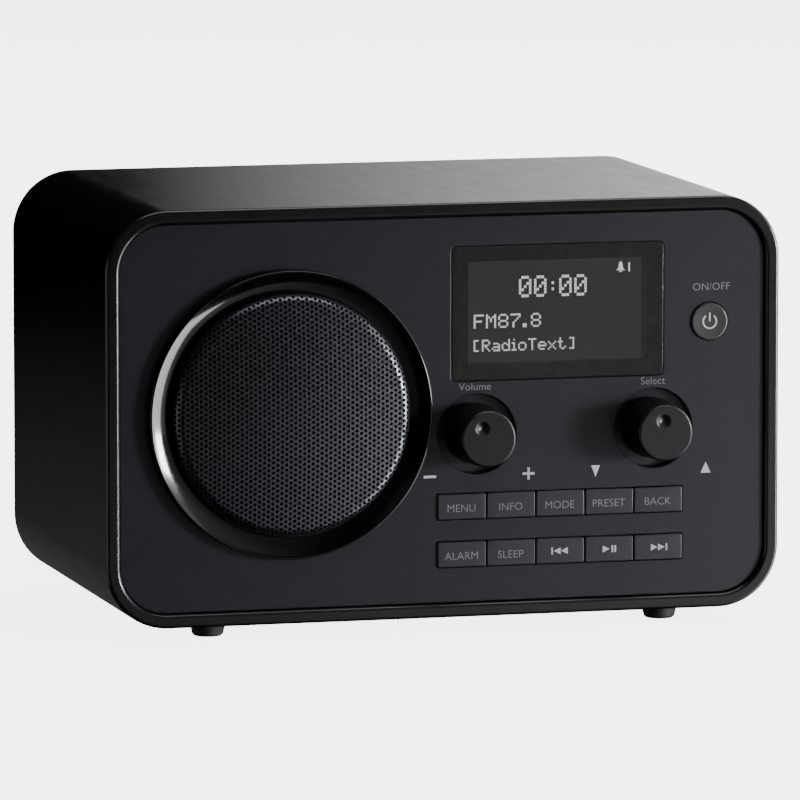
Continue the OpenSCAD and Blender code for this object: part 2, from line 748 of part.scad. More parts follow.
module rear_panel() color("#1b1b1d") difference() {
    union() {
        slab(rear_inner, rear_face) rounded(panel_w, panel_h, panel_r);
        slab(main_depth + board_t, rear_inner) main_posts() circle(post_r + 0.6);
    }
    slab(rear_inner - over, rear_face + over) {
        at_corners(lug_x, lug_z) circle(screw_r + screw_fit);
        for (i = [0, 1]) translate([jack_x[i], jack_z]) circle(nose_r + screw_fit);
        translate([jack_x[2], jack_z]) square(inlet_w + 2 * screw_fit, center = true);
        translate([port_x, port_z]) circle(port_r + port_wall);
    }
    slab(main_depth + board_t - over, rear_inner - 1) main_posts() circle(screw_r);
}

module rear_screws() color("#9a9a9a") for (i = [-1, 1], k = [-1, 1])
    at_depth(rear_face) translate([i * lug_x, k * lug_z, 0]) {
        translate([0, 0, -screw_head_h / 2]) cylinder(r = screw_head_r, h = screw_head_h / 2);
        cylinder(r = screw_r, h = rear_t + rear_lug_l - 4);
    }

// ---- antenna ----

// Children drawn with the antenna's turning point at the origin, in the radio's own directions
module at_mast() translate([mast_x, front_y + mast_depth, cab_mid_z + mast_z]) children();

module antenna_base() color("#1b1b1d") turned(mast_x, mast_z) difference() {
    band(0, base_r, rear_face, rear_face + base_t);
    band(0, 2 + run_fit, rear_face + base_t - 2, rear_face + base_t + over);
}

// The yoke: a disc that turns on the base, and two ears that hold the antenna's pin
module antenna_yoke() color("#1b1b1d") {
    at_mast() difference() {
        union() {
            rotate([90, 0, 0]) translate([0, 0, yoke_reach - base_t - yoke_t])
                cylinder(r = base_r - 0.8, h = yoke_t);
            for (k = [-1, 1]) translate([0, 0, k * (knuckle_h / 2 + ear_gap + ear_t / 2)]) {
                cylinder(r = knuckle_r, h = ear_t, center = true);
                translate([0, -(yoke_reach - base_t - yoke_t) / 2, 0])
                    cube([2 * knuckle_r, yoke_reach - base_t - yoke_t, ear_t], center = true);
            }
        }
    }
    at_mast() cylinder(r = pin_r, h = knuckle_h + 2 * ear_gap + ear_t, center = true);
    turned(mast_x, mast_z) band(0, 2, rear_face + base_t - 1.8, rear_face + base_t);
}

// A section of the antenna: 0 is the widest
function section_r(i) = mast_r - i * section_step;

module section(i) at_mast() rotate([0, -90, 0]) difference() {
    translate([0, 0, mast_start + 1.5 * (i > 0 ? 1 : 0)]) cylinder(r = section_r(i), h = mast_l - 1.5 * (i > 0 ? 1 : 0) + i * 0.6);
    translate([0, 0, mast_start + 1.5]) cylinder(r = section_r(i) - mast_wall, h = mast_l + 10);
}

module mast_outer() color("#c8c9cc") {
    section(0);
    at_mast() difference() {
        union() {
            cylinder(r = knuckle_r, h = knuckle_h, center = true);
            translate([-mast_start / 2, 0, 0]) cube([mast_start, 2 * mast_r - 1.6, knuckle_h - 1.6], center = true);
        }
        cylinder(r = pin_r + run_fit, h = knuckle_h + 2 * over, center = true);
    }
}

module mast_second() color("#c8c9cc") section(1);

module mast_third() color("#c8c9cc") section(2);

// The innermost section is a solid rod with an end cap
module mast_inner() color("#c8c9cc") at_mast() rotate([0, -90, 0]) {
    translate([0, 0, mast_start + 1.5]) cylinder(r = section_r(3), h = mast_l);
    translate([0, 0, mast_start + mast_l + 1.2]) cylinder(r = mast_r, h = cap_l);
}

cabinet();
front_panel();
front_screws();
rear_panel();
rear_screws();
feet();
foot_screws();
speaker_ring();
grille();
grille_cloth();
speaker_gasket();
speaker_basket();
speaker_screws();
speaker_surround();
speaker_cone();
dust_cap();
voice_coil();
speaker_spider();
motor_plates();
speaker_magnet();
speaker_wires();
display_window();
display_shroud();
lcd_panel();
display_board();
control_board();
tact_switches();
volume_encoder();
volume_shaft();
volume_knob();
select_encoder();
select_plunger();
select_shaft();
select_knob();
menu_key();
info_key();
mode_key();
preset_key();
back_key();
alarm_key();
sleep_key();
previous_key();
play_key();
next_key();
power_button();
main_board();
tuner_module();
capacitors();
ribbon_cable();
headphone_jack();
line_in_jack();
power_inlet();
bass_port();
board_screws();
antenna_base();
antenna_yoke();
mast_outer();
mast_second();
mast_third();
mast_inner();
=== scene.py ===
"""Dresses a tabletop radio: detailed shells, grille, dials, keys, display, legends and antenna.

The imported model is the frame. Every piece takes its place from the frame's boxes and rides on
one of its bodies. Lengths are in metres; +Z is up and the front looks towards -Y.
"""

import json
import logging
import math
from dataclasses import dataclass, field
from enum import Enum
from functools import lru_cache
from typing import Iterable, Sequence

import bmesh
import bpy
import numpy as np
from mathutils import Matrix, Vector
from mathutils.geometry import delaunay_2d_cdt


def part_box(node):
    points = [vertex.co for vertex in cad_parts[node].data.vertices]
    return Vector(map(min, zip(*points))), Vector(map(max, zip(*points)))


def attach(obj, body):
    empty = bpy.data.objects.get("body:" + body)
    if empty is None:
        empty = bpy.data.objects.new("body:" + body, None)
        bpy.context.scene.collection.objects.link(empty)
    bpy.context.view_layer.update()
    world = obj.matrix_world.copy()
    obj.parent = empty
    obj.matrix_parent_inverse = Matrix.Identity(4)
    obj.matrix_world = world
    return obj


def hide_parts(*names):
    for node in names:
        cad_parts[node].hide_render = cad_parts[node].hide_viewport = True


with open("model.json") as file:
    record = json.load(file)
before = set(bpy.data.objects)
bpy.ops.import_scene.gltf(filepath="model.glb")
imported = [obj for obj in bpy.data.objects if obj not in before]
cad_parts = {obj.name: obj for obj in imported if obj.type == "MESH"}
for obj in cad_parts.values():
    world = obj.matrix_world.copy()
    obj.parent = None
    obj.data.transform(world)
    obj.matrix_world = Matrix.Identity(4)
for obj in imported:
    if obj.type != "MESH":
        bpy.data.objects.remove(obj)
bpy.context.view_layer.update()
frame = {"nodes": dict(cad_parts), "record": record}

Array = np.ndarray
MM = 0.001
# vertices closer than this are one
MERGE = 0.002 * MM
# height of a capital over the font's size
CAPITAL = 0.73
LOG = logging.getLogger("radio")


# ---------------------------------------------------------------- finishes


class Pattern(Enum):
    """How a surface varies from point to point."""

    MOULDED = "moulded"  # the fine, even texture of a spark-eroded mould
    LACQUER = "lacquer"  # sprayed lacquer with a faint orange peel
    BRUSHED = "brushed"  # long fine scratches along X
    WOVEN = "woven"  # a plain weave of thin threads
    CAST = "cast"  # a coarse sintered or foamed surface
    FIBRE = "fibre"  # pressed paper with short fibres
    POLISHED = "polished"  # smooth, with faint cloudy smears
    BOARD = "board"  # a circuit board's tracks under solder mask


@dataclass(frozen=True)
class Finish:
    """One surface finish, made once as a node material.

    Attributes:
        name: the material's name.
        colour: linear base colour.
        roughness: mean roughness.
        pattern: how the surface varies.
        grain: size of the pattern.
        relief: height of the pattern.
        spread: share by which the colour and the roughness vary.
        metallic: how metallic it is, from 0 to 1.
        coat: weight of a clear coat.
        coat_roughness: roughness of that coat.
        sheen: weight of a cloth's sheen.
        alpha: how opaque it is.
        glow: strength of its own light.
    """

    name: str
    colour: tuple[float, float, float]
    roughness: float
    pattern: Pattern = Pattern.MOULDED
    grain: float = 0.3 * MM
    relief: float = 0.006 * MM
    spread: float = 0.12
    metallic: float = 0.0
    coat: float = 0.0
    coat_roughness: float = 0.05
    sheen: float = 0.0
    alpha: float = 1.0
    glow: float = 0.0

    def material(self) -> bpy.types.Material:
        """Returns: the node material of this finish."""
        return _material(self)


class NodeTree:
    """A short way to add nodes and join them."""

    def __init__(self, material: bpy.types.Material) -> None:
        """Args: material: the material whose tree is filled."""
        material.use_nodes = True
        self.tree = material.node_tree
        self.shader = self.tree.nodes["Principled BSDF"]

    def node(self, kind: str, **settings: object) -> bpy.types.Node:
        """Adds a node of that kind with its attributes set. Returns: the node."""
        node = self.tree.nodes.new(kind)
        for key, value in settings.items():
            setattr(node, key, value)
        return node

    def join(self, source: bpy.types.NodeSocket, target: bpy.types.NodeSocket) -> None:
        """Joins an output to an input."""
        self.tree.links.new(source, target)

    def place(self, stretch: tuple[float, float, float]) -> bpy.types.NodeSocket:
        """Object coordinates scaled by stretch. Returns: the vector output."""
        where = self.node("ShaderNodeTexCoord")
        mapping = self.node("ShaderNodeMapping")
        mapping.inputs["Scale"].default_value = stretch
        self.join(where.outputs["Object"], mapping.inputs["Vector"])
        return mapping.outputs["Vector"]

    def noise(self, stretch: tuple[float, float, float], scale: float, detail: float) -> bpy.types.NodeSocket:
        """Cloudy noise of that scale on stretched object coordinates. Returns: its value output."""
        noise = self.node("ShaderNodeTexNoise")
        noise.inputs["Scale"].default_value = scale
        noise.inputs["Detail"].default_value = detail
        self.join(self.place(stretch), noise.inputs["Vector"])
        return noise.outputs["Fac"]

    def cells(self, scale: float) -> bpy.types.NodeSocket:
        """Distance to the nearest of scattered points. Returns: its distance output."""
        cells = self.node("ShaderNodeTexVoronoi")
        cells.inputs["Scale"].default_value = scale
        self.join(self.place((1, 1, 1)), cells.inputs["Vector"])
        return cells.outputs["Distance"]

    def threads(self, direction: str, scale: float) -> bpy.types.NodeSocket:
        """Parallel rounded threads across a direction. Returns: their height output."""
        wave = self.node("ShaderNodeTexWave", wave_type="BANDS", bands_direction=direction)
        wave.inputs["Scale"].default_value = scale
        self.join(self.place((1, 1, 1)), wave.inputs["Vector"])
        return wave.outputs["Fac"]

    def math(self, operation: str, a: bpy.types.NodeSocket, b: bpy.types.NodeSocket) -> bpy.types.NodeSocket:
        """Combines two values. Returns: the result's output."""
        node = self.node("ShaderNodeMath", operation=operation)
        self.join(a, node.inputs[0])
        self.join(b, node.inputs[1])
        return node.outputs[0]

    def span(self, value: bpy.types.NodeSocket, low: float, high: float) -> bpy.types.NodeSocket:
        """Spreads the middle of a 0 to 1 value over low to high. Returns: the result's output."""
        node = self.node("ShaderNodeMapRange")
        node.inputs["From Min"].default_value = 0.3
        node.inputs["From Max"].default_value = 0.7
        node.inputs["To Min"].default_value = low
        node.inputs["To Max"].default_value = high
        self.join(value, node.inputs["Value"])
        return node.outputs["Result"]

    def blend(self, factor: bpy.types.NodeSocket, a: Sequence[float],
              b: Sequence[float]) -> bpy.types.NodeSocket:
        """Mixes two colours by a factor. Returns: the colour output."""
        mix = self.node("ShaderNodeMix", data_type="RGBA")
        mix.inputs[6].default_value = (*a, 1)
        mix.inputs[7].default_value = (*b, 1)
        self.join(factor, mix.inputs[0])
        return mix.outputs[2]


@lru_cache(maxsize=None)
def _material(finish: Finish) -> bpy.types.Material:
    """Builds the node material of a finish: a height pattern for the relief, and a softer one that
    lightens the colour and shifts the roughness.

    Args:
        finish: the finish to build.

    Returns:
        The material, the same one for the same finish.
    """
    made = bpy.data.materials.new(finish.name)
    tree = NodeTree(made)
    shader = tree.shader
    fine = 1.0 / finish.grain
    pattern = finish.pattern
    cloud = tree.noise((1, 1, 1), fine / 12, 3.0)
    if pattern is Pattern.BRUSHED:
        height = tree.noise((0.03, 1, 1), fine, 4.0)
        cloud = tree.noise((0.05, 1, 1), fine / 3, 2.0)
    elif pattern is Pattern.WOVEN:
        height = tree.math("MAXIMUM", tree.threads("X", fine), tree.threads("Z", fine))
    elif pattern is Pattern.CAST:
        height = tree.cells(fine)
    elif pattern is Pattern.FIBRE:
        height = tree.math("ADD", tree.noise((0.15, 1, 1), fine, 3.0), tree.noise((1, 1, 0.15), fine, 3.0))
    elif pattern is Pattern.LACQUER:
        height = tree.noise((1, 1, 1), fine, 1.0)
        cloud = tree.noise((1, 0.2, 1), fine / 3, 4.0)
    elif pattern is Pattern.BOARD:
        height = tree.threads("X", fine)
        cloud = tree.math("MULTIPLY", tree.threads("Z", fine / 2), tree.cells(fine / 3))
    else:
        height = tree.noise((1, 1, 1), fine, 5.0)
    low = tuple(c * (1 - finish.spread) for c in finish.colour)
    high = tuple(min(1.0, c * (1 + finish.spread)) for c in finish.colour)
    tree.join(tree.blend(tree.span(cloud, 0, 1), low, high), shader.inputs["Base Color"])
    rough, spread = finish.roughness, finish.spread
    rough = tree.span(cloud, rough * (1 - spread), rough * (1 + spread))
    tree.join(rough, shader.inputs["Roughness"])
    bump = tree.node("ShaderNodeBump")
    bump.inputs["Strength"].default_value = 1.0
    bump.inputs["Distance"].default_value = finish.relief
    tree.join(height, bump.inputs["Height"])
    tree.join(bump.outputs["Normal"], shader.inputs["Normal"])
    for socket, value in (
        ("Metallic", finish.metallic), ("Coat Weight", finish.coat),
        ("Coat Roughness", finish.coat_roughness), ("Sheen Weight", finish.sheen),
        ("Alpha", finish.alpha), ("Emission Strength", finish.glow),
    ):
        shader.inputs[socket].default_value = value
    shader.inputs["Emission Color"].default_value = (*finish.colour, 1)
    return made


@dataclass(frozen=True)
class Palette:
    """Every finish of the radio, by material slot, and the inks that are printed on it."""

    cabinet_lacquer: Finish = Finish(
        "cabinet lacquer", (0.0075, 0.007, 0.007), 0.24, Pattern.LACQUER, 1.6 * MM, 0.004 * MM, 0.14,
        coat=0.35, coat_roughness=0.16)
    panel_plastic: Finish = Finish(
        "panel plastic", (0.0125, 0.0122, 0.0185), 0.36, Pattern.MOULDED, 0.22 * MM, 0.005 * MM, 0.08)
    ring_gloss: Finish = Finish(
        "ring gloss", (0.004, 0.004, 0.0035), 0.13, Pattern.POLISHED, 2.5 * MM, 0.0008 * MM, 0.2,
        coat=0.5, coat_roughness=0.04)
    grille_metal: Finish = Finish(
        "grille paint", (0.115, 0.115, 0.132), 0.32, Pattern.MOULDED, 0.15 * MM, 0.004 * MM, 0.1,
        metallic=0.9)
    scrim_cloth: Finish = Finish(
        "scrim cloth", (0.004, 0.004, 0.004), 0.95, Pattern.WOVEN, 0.5 * MM, 0.05 * MM, 0.3, sheen=0.1)
    gasket_foam: Finish = Finish(
        "gasket foam", (0.02, 0.02, 0.02), 0.9, Pattern.CAST, 0.5 * MM, 0.08 * MM, 0.3)
    basket_steel: Finish = Finish(
        "basket paint", (0.03, 0.03, 0.03), 0.4, Pattern.MOULDED, 0.4 * MM, 0.01 * MM, 0.2, metallic=0.3)
    surround_rubber: Finish = Finish(
        "surround rubber", (0.012, 0.012, 0.012), 0.6, Pattern.MOULDED, 0.5 * MM, 0.01 * MM, 0.2)
    cone_paper: Finish = Finish(
        "cone paper", (0.025, 0.024, 0.023), 0.85, Pattern.FIBRE, 0.5 * MM, 0.03 * MM, 0.25)
    coil_copper: Finish = Finish(
        "coil copper", (0.75, 0.3, 0.13), 0.3, Pattern.WOVEN, 0.3 * MM, 0.05 * MM, 0.2, metallic=1.0)
    motor_steel: Finish = Finish(
        "motor steel", (0.6, 0.6, 0.62), 0.35, Pattern.BRUSHED, 0.4 * MM, 0.008 * MM, 0.15, metallic=1.0)
    ferrite: Finish = Finish(
        "ferrite", (0.035, 0.035, 0.038), 0.7, Pattern.CAST, 0.8 * MM, 0.05 * MM, 0.25)
    wire_sheath: Finish = Finish(
        "wire sheath", (0.3, 0.02, 0.02), 0.5, Pattern.POLISHED, 1.0 * MM, 0.01 * MM, 0.15)
    window_smoke: Finish = Finish(
        "smoked window", (0.036, 0.036, 0.034), 0.24, Pattern.POLISHED, 6 * MM, 0.0004 * MM, 0.15,
        alpha=0.6)
    shroud_black: Finish = Finish(
        "shroud black", (0.004, 0.004, 0.004), 0.7, Pattern.MOULDED, 0.3 * MM, 0.01 * MM, 0.2)
    lcd_glass: Finish = Finish(
        "display glass", (0.03, 0.03, 0.03), 0.3, Pattern.POLISHED, 4 * MM, 0.0005 * MM, 0.06, glow=3.0)
    board_green: Finish = Finish(
        "solder mask", (0.012, 0.09, 0.03), 0.3, Pattern.BOARD, 1.4 * MM, 0.03 * MM, 0.3, coat=0.3)
    switch_plastic: Finish = Finish(
        "switch plastic", (0.02, 0.02, 0.022), 0.5, Pattern.MOULDED, 0.3 * MM, 0.008 * MM, 0.15)
    encoder_metal: Finish = Finish(
        "encoder plating", (0.62, 0.62, 0.6), 0.32, Pattern.BRUSHED, 0.3 * MM, 0.006 * MM, 0.15, metallic=1.0)
    plunger_plastic: Finish = Finish(
        "plunger plastic", (0.7, 0.7, 0.66), 0.4, Pattern.POLISHED, 0.8 * MM, 0.005 * MM, 0.1)
    knob_plastic: Finish = Finish(
        "knob plastic", (0.0085, 0.0085, 0.011), 0.34, Pattern.MOULDED, 0.16 * MM, 0.003 * MM, 0.1)
    key_plastic: Finish = Finish(
        "key plastic", (0.032, 0.032, 0.040), 0.36, Pattern.MOULDED, 0.16 * MM, 0.003 * MM, 0.1)
    power_plastic: Finish = Finish(
        "power button plastic", (0.036, 0.036, 0.035), 0.4, Pattern.MOULDED, 0.16 * MM, 0.003 * MM, 0.1)
    rear_plastic: Finish = Finish(
        "rear plastic", (0.022, 0.022, 0.023), 0.5, Pattern.CAST, 0.45 * MM, 0.03 * MM, 0.12)
    jack_plastic: Finish = Finish(
        "jack plastic", (0.01, 0.01, 0.01), 0.3, Pattern.POLISHED, 1.0 * MM, 0.004 * MM, 0.15)
    screw_steel: Finish = Finish(
        "black zinc", (0.12, 0.12, 0.125), 0.36, Pattern.BRUSHED, 0.25 * MM, 0.01 * MM, 0.2, metallic=1.0)
    foot_rubber: Finish = Finish(
        "foot rubber", (0.006, 0.006, 0.006), 0.7, Pattern.MOULDED, 0.6 * MM, 0.02 * MM, 0.2)
    antenna_chrome: Finish = Finish(
        "antenna chrome", (0.78, 0.78, 0.8), 0.12, Pattern.BRUSHED, 0.3 * MM, 0.0015 * MM, 0.1, metallic=1.0)
    legend_ink: Finish = Finish(
        "legend ink", (0.3, 0.3, 0.33), 0.6, Pattern.MOULDED, 0.2 * MM, 0.002 * MM, 0.1)
    symbol_ink: Finish = Finish(
        "symbol ink", (0.75, 0.75, 0.78), 0.6, Pattern.MOULDED, 0.2 * MM, 0.002 * MM, 0.1)
    lit_dots: Finish = Finish(
        "lit dots", (0.78, 0.8, 0.78), 0.5, Pattern.POLISHED, 2 * MM, 0.0005 * MM, 0.06, glow=6.0)

    def of_slot(self, slot: str) -> Finish:
        """Returns: the finish of a material slot."""
        return getattr(self, slot)


PALETTE = Palette()


# ---------------------------------------------------------------- outlines, profiles and meshes


@dataclass(frozen=True)
class Outline:
    """A rounded rectangle in X and Z, or a circle where the radius is half of both sides."""

    x: float
    z: float
    w: float
    h: float
    r: float
    steps: int = 8

    @property
    def round(self) -> bool:
        """Whether the outline is a circle."""
        return max(self.w, self.h) < 2 * self.r + 1e-6

    def loop(self, grow: Array | float = 0.0) -> Array:
        """Points round the outline: each corner's centre plus its radius times (cosine, sine).

        Args:
            grow: how far the outline moves out along its normals, one value or an array.

        Returns:
            The points, with the shape of grow, then the points round, then (x, z).
        """
        count = self.steps if self.round else self.steps + 1
        quarter = np.arange(count) * (math.pi / 2 / self.steps)
        angle = (np.arange(4)[:, None] * math.pi / 2 + quarter).ravel()
        side = np.repeat(np.array([[1, 1], [-1, 1], [-1, -1], [1, -1]]), count, axis=0)
        half = np.array([self.w / 2 - self.r, self.h / 2 - self.r])
        ring = self.r + np.asarray(grow, float)[..., None, None]
        way = np.stack([np.cos(angle), np.sin(angle)], -1)
        return np.array([self.x, self.z]) + side * half + ring * way

    def holds(self, points: Array, grow: float = 0.0) -> Array:
        """Returns: for each (x, z) point, whether it lies inside the outline moved out by grow."""
        half = np.array([self.w / 2 - self.r, self.h / 2 - self.r])
        beyond = np.maximum(np.abs(points - np.array([self.x, self.z])) - half, 0)
        return np.hypot(beyond[:, 0], beyond[:, 1]) < self.r + grow

    def carried(self, profile: Array) -> Array:
        """The surface that a wall profile makes when it is carried round the outline.

        Args:
            profile: rows of (growth out of the outline, y).

        Returns:
            A grid of points, profile by outline.
        """
        return upright(self.loop(profile[:, 0]), profile[:, 1, None])


def disc(x: float, z: float, r: float, steps: int = 24) -> Outline:
    """Returns: a circle's outline with steps points in each quarter."""
    return Outline(x, z, 2 * r, 2 * r, r, steps)


def softened(corners: Sequence[tuple[float, float, float]], closed: bool = False, steps: int = 5,
             guard: float = 0.12 * MM) -> Array:
    """A line through corners, each rounded to its radius.

    At a corner with unit legs a and b an angle t apart, the arc touches the legs at r / tan(t / 2)
    and its centre lies r / sin(t / 2) along the line that halves the corner. Guard points just
    beyond both ends of an arc keep the flat stretches flat when the surface is shaded.

    Args:
        corners: (first, second, radius) of each corner; radius 0 leaves it sharp.
        closed: whether the last corner joins the first.
        steps: steps in each arc.
        guard: distance of the guard points from the arcs.

    Returns:
        The line's points.
    """
    points = np.array([c[:2] for c in corners], float)
    line = []
    for i, (_, _, r) in enumerate(corners):
        here = points[i]
        if r == 0 or (not closed and i in (0, len(corners) - 1)):
            line.append(here[None])
            continue
        a = points[i - 1] - here
        b = points[(i + 1) % len(corners)] - here
        a, b = a / np.linalg.norm(a), b / np.linalg.norm(b)
        t = math.acos(float(np.clip(a @ b, -1, 1)))
        reach = r / math.tan(t / 2)
        half = a + b
        centre = here + half / np.linalg.norm(half) * r / math.sin(t / 2)
        turn = math.pi - t
        s = np.linspace(0, 1, steps + 1)[:, None]
        first, last = here + a * reach - centre, here + b * reach - centre
        arc = centre + (np.sin((1 - s) * turn) * first + np.sin(s * turn) * last) / math.sin(turn)
        line += [(here + a * (reach + guard))[None], arc, (here + b * (reach + guard))[None]]
    if closed:
        line.append(line[0][:1])
    return np.vstack(line)


def ring_edges(count: int, start: int = 0) -> Array:
    """Joins each point of a closed ring to the next.

    Args:
        count: the number of points.
        start: the first point's number.

    Returns:
        Pairs of point numbers.
    """
    n = np.arange(count)
    return start + np.stack([n, (n + 1) % count], -1)


def triangulated(points: Array, edges: Array) -> tuple[Array, Array]:
    """Fills the space between edges with constrained Delaunay triangles.

    Args:
        points: (first, second) rows.
        edges: pairs of rows that stay joined.

    Returns:
        The points that the triangles use, and the triangles.
    """
    out = delaunay_2d_cdt([Vector(p) for p in points], edges.tolist(), [], 1, 1e-9, False)
    return np.array([v[:] for v in out[0]]), np.array(out[2])


def upright(flat: Array, y: float | Array) -> Array:
    """Returns: (x, z) rows stood up as (x, y, z) at depth y."""
    return np.stack([flat[..., 0], np.broadcast_to(y, flat.shape[:-1]), flat[..., 1]], -1)


def linked(name: str, data: bpy.types.ID) -> bpy.types.Object:
    """Puts a new object in the scene.

    Args:
        name: its name.
        data: what it shows.

    Returns:
        The object.
    """
    made = bpy.data.objects.new(name, data)
    bpy.context.scene.collection.objects.link(made)
    return made


def vertices(mesh: bpy.types.Mesh) -> Array:
    """Reads a mesh's vertices.

    Args:
        mesh: the mesh.

    Returns:
        Rows of (x, y, z).
    """
    flat = np.empty(len(mesh.vertices) * 3)
    mesh.vertices.foreach_get("co", flat)
    return flat.reshape(-1, 3)


def cleaned(mesh: bpy.types.Mesh, merge: float) -> None:
    """Merges a mesh's doubles, drops faces of no area and turns all faces outwards.

    Args:
        mesh: the mesh.
        merge: the distance under which two vertices become one.
    """
    work = bmesh.new()
    work.from_mesh(mesh)
    bmesh.ops.remove_doubles(work, verts=work.verts, dist=merge)
    bmesh.ops.dissolve_degenerate(work, edges=work.edges, dist=MERGE / 2)
    bmesh.ops.recalc_face_normals(work, faces=work.faces)
    work.to_mesh(mesh)
    work.free()


class Shell:
    """Gathers surfaces into one mesh and makes it an object at the origin."""

    def __init__(self) -> None:
        """Starts empty."""
        self.points: list[Array] = []
        self.faces: list[list[int]] = []
        self.count = 0

    def add(self, points: Array, faces: Array | Iterable[Sequence[int]]) -> None:
        """Adds points and the faces that index them."""
        faces = np.asarray(faces) + self.count
        self.points.append(points.reshape(-1, 3))
        self.faces.extend(faces.tolist())
        self.count += len(self.points[-1])

    def grid(self, p: Array, closed: bool = True) -> None:
        """Adds the quads of a grid of points.

        Args:
            p: rows by columns by (x, y, z).
            closed: whether the last column joins the first.
        """
        rows, columns = p.shape[:2]
        i = np.arange(rows - 1)[:, None]
        j = np.arange(columns if closed else columns - 1)[None, :]
        k = (j + 1) % columns
        quads = np.stack([i * columns + j, i * columns + k, (i + 1) * columns + k, (i + 1) * columns + j], -1)
        self.add(p, quads.reshape(-1, 4))

    def cap(self, ring: Array) -> None:
        """Closes a ring of points with one face."""
        self.add(ring, np.arange(len(ring))[None])

    def plate(self, outer: Array, holes: Sequence[tuple[Outline, float]], y: float) -> None:
        """Fills the flat space inside a ring and outside some holes.

        The triangles are the constrained Delaunay ones of all the rings, less those whose middle
        lies in a hole.

        Args:
            outer: (x, z) points round the plate.
            holes: outlines and how far each is moved out.
            y: the plate's depth.
        """
        rings = [outer] + [hole.loop(grow) for hole, grow in holes]
        sizes = np.array([len(r) for r in rings])
        starts = np.cumsum(sizes) - sizes
        edges = np.vstack([ring_edges(n, start) for start, n in zip(starts, sizes)])
        flat, faces = triangulated(np.vstack(rings), edges)
        middle = flat[faces].mean(1)
        keep = np.ones(len(faces), bool)
        for hole, grow in holes:
            keep &= ~hole.holds(middle, grow)
        self.add(upright(flat, y), faces[keep])

    def prism(self, flat: Array, front: float, back: float) -> None:
        """Adds a closed prism with that (x, z) outline between two depths."""
        near, far = upright(flat, front), upright(flat, back)
        self.cap(near)
        self.cap(far[::-1])
        self.grid(np.stack([near, far]))

    def build(self, name: str, crease: float = 32.0) -> bpy.types.Object:
        """Makes the object: joins the seams, turns the faces outwards and smooths the shading.

        Args:
            name: the object's name.
            crease: angle in degrees beyond which an edge stays sharp.

        Returns:
            The object, at the origin.
        """
        mesh = bpy.data.meshes.new(name)
        mesh.from_pydata(np.vstack(self.points).tolist(), [], self.faces)
        cleaned(mesh, MERGE)
        mesh.polygons.foreach_set("use_smooth", np.ones(len(mesh.polygons), bool))
        mesh.set_sharp_from_angle(angle=math.radians(crease))
        return linked(name, mesh)


def place(piece: bpy.types.Object, body: str, slot: str, *nodes: str, finish: Finish | None = None) -> None:
    """Dresses a finished piece and hands it to its body.

    Args:
        piece: the new piece.
        body: the body that it moves with.
        slot: the material slot that it takes its finish from.
        nodes: the frame's nodes that it stands for.
        finish: a finish other than the slot's own.
    """
    piece.data.materials.clear()
    piece.data.materials.append((finish or PALETTE.of_slot(slot)).material())
    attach(piece, body)
    if nodes:
        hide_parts(*nodes)
    LOG.info("%s rides on %s: %d faces", piece.name, body, len(piece.data.polygons))


def lettering(name: str, text: str, x: float, z: float, cap: float, front: float, back: float,
              thin: float = 0.0) -> bpy.types.Object:
    """Words as a thin raised print, centred at (x, z).

    Args:
        name: the piece's name.
        text: the words.
        x: middle of the words.
        z: middle of the capitals' height.
        cap: height of the capitals.
        front: depth of the print's face.
        back: depth of its foot, inside what it is printed on.
        thin: share of the letter size by which the strokes get thinner.

    Returns:
        The print as a mesh object at the origin.
    """
    curve = bpy.data.curves.new(name, "FONT")
    curve.body = text
    curve.align_x = "CENTER"
    curve.resolution_u = 3
    curve.offset = -thin
    curve.extrude = 0.5
    holder = linked(name + "_text", curve)
    bpy.context.view_layer.update()
    mesh = bpy.data.meshes.new_from_object(holder.evaluated_get(bpy.context.evaluated_depsgraph_get()))
    bpy.data.objects.remove(holder)
    flat = vertices(mesh)
    size = cap / CAPITAL
    middle = (flat[:, 0].min() + flat[:, 0].max()) / 2
    moved = np.stack([
        x + (flat[:, 0] - middle) * size,
        np.where(flat[:, 2] > 0, front, back),
        z + (flat[:, 1] - CAPITAL / 2) * size,
    ], -1)
    mesh.vertices.foreach_set("co", moved.ravel())
    mesh.name = name
    mesh.update()
    return linked(name, mesh)


@dataclass(frozen=True)
class Place:
    """A node's box: its middle, its size, and its front and back depths."""

    node: str

    @property
    def low(self) -> Array:
        """The lowest corner."""
        return np.array(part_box(self.node)[0])

    @property
    def high(self) -> Array:
        """The highest corner."""
        return np.array(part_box(self.node)[1])

    @property
    def middle(self) -> Array:
        """The middle of the box."""
        return (self.low + self.high) / 2

    @property
    def size(self) -> Array:
        """The box's sides."""
        return self.high - self.low

    @property
    def centre(self) -> tuple[float, float]:
        """The middle in X and Z."""
        return self.middle[0], self.middle[2]

    def disc(self, r: float, steps: int) -> Outline:
        """Returns: a circle about the middle with steps points in each quarter."""
        return disc(*self.centre, r, steps)

    def frame(self, corner_r: float, steps: int, grow: float = 0.0) -> Outline:
        """Returns: the box's rounded outline in X and Z, with its sides longer by twice grow."""
        return Outline(*self.centre, self.size[0] + 2 * grow, self.size[2] + 2 * grow, corner_r, steps)

    @property
    def front(self) -> float:
        """The depth of the node's front."""
        return float(self.low[1])

    @property
    def back(self) -> float:
        """The depth of the node's back."""
        return float(self.high[1])


# ---------------------------------------------------------------- casing


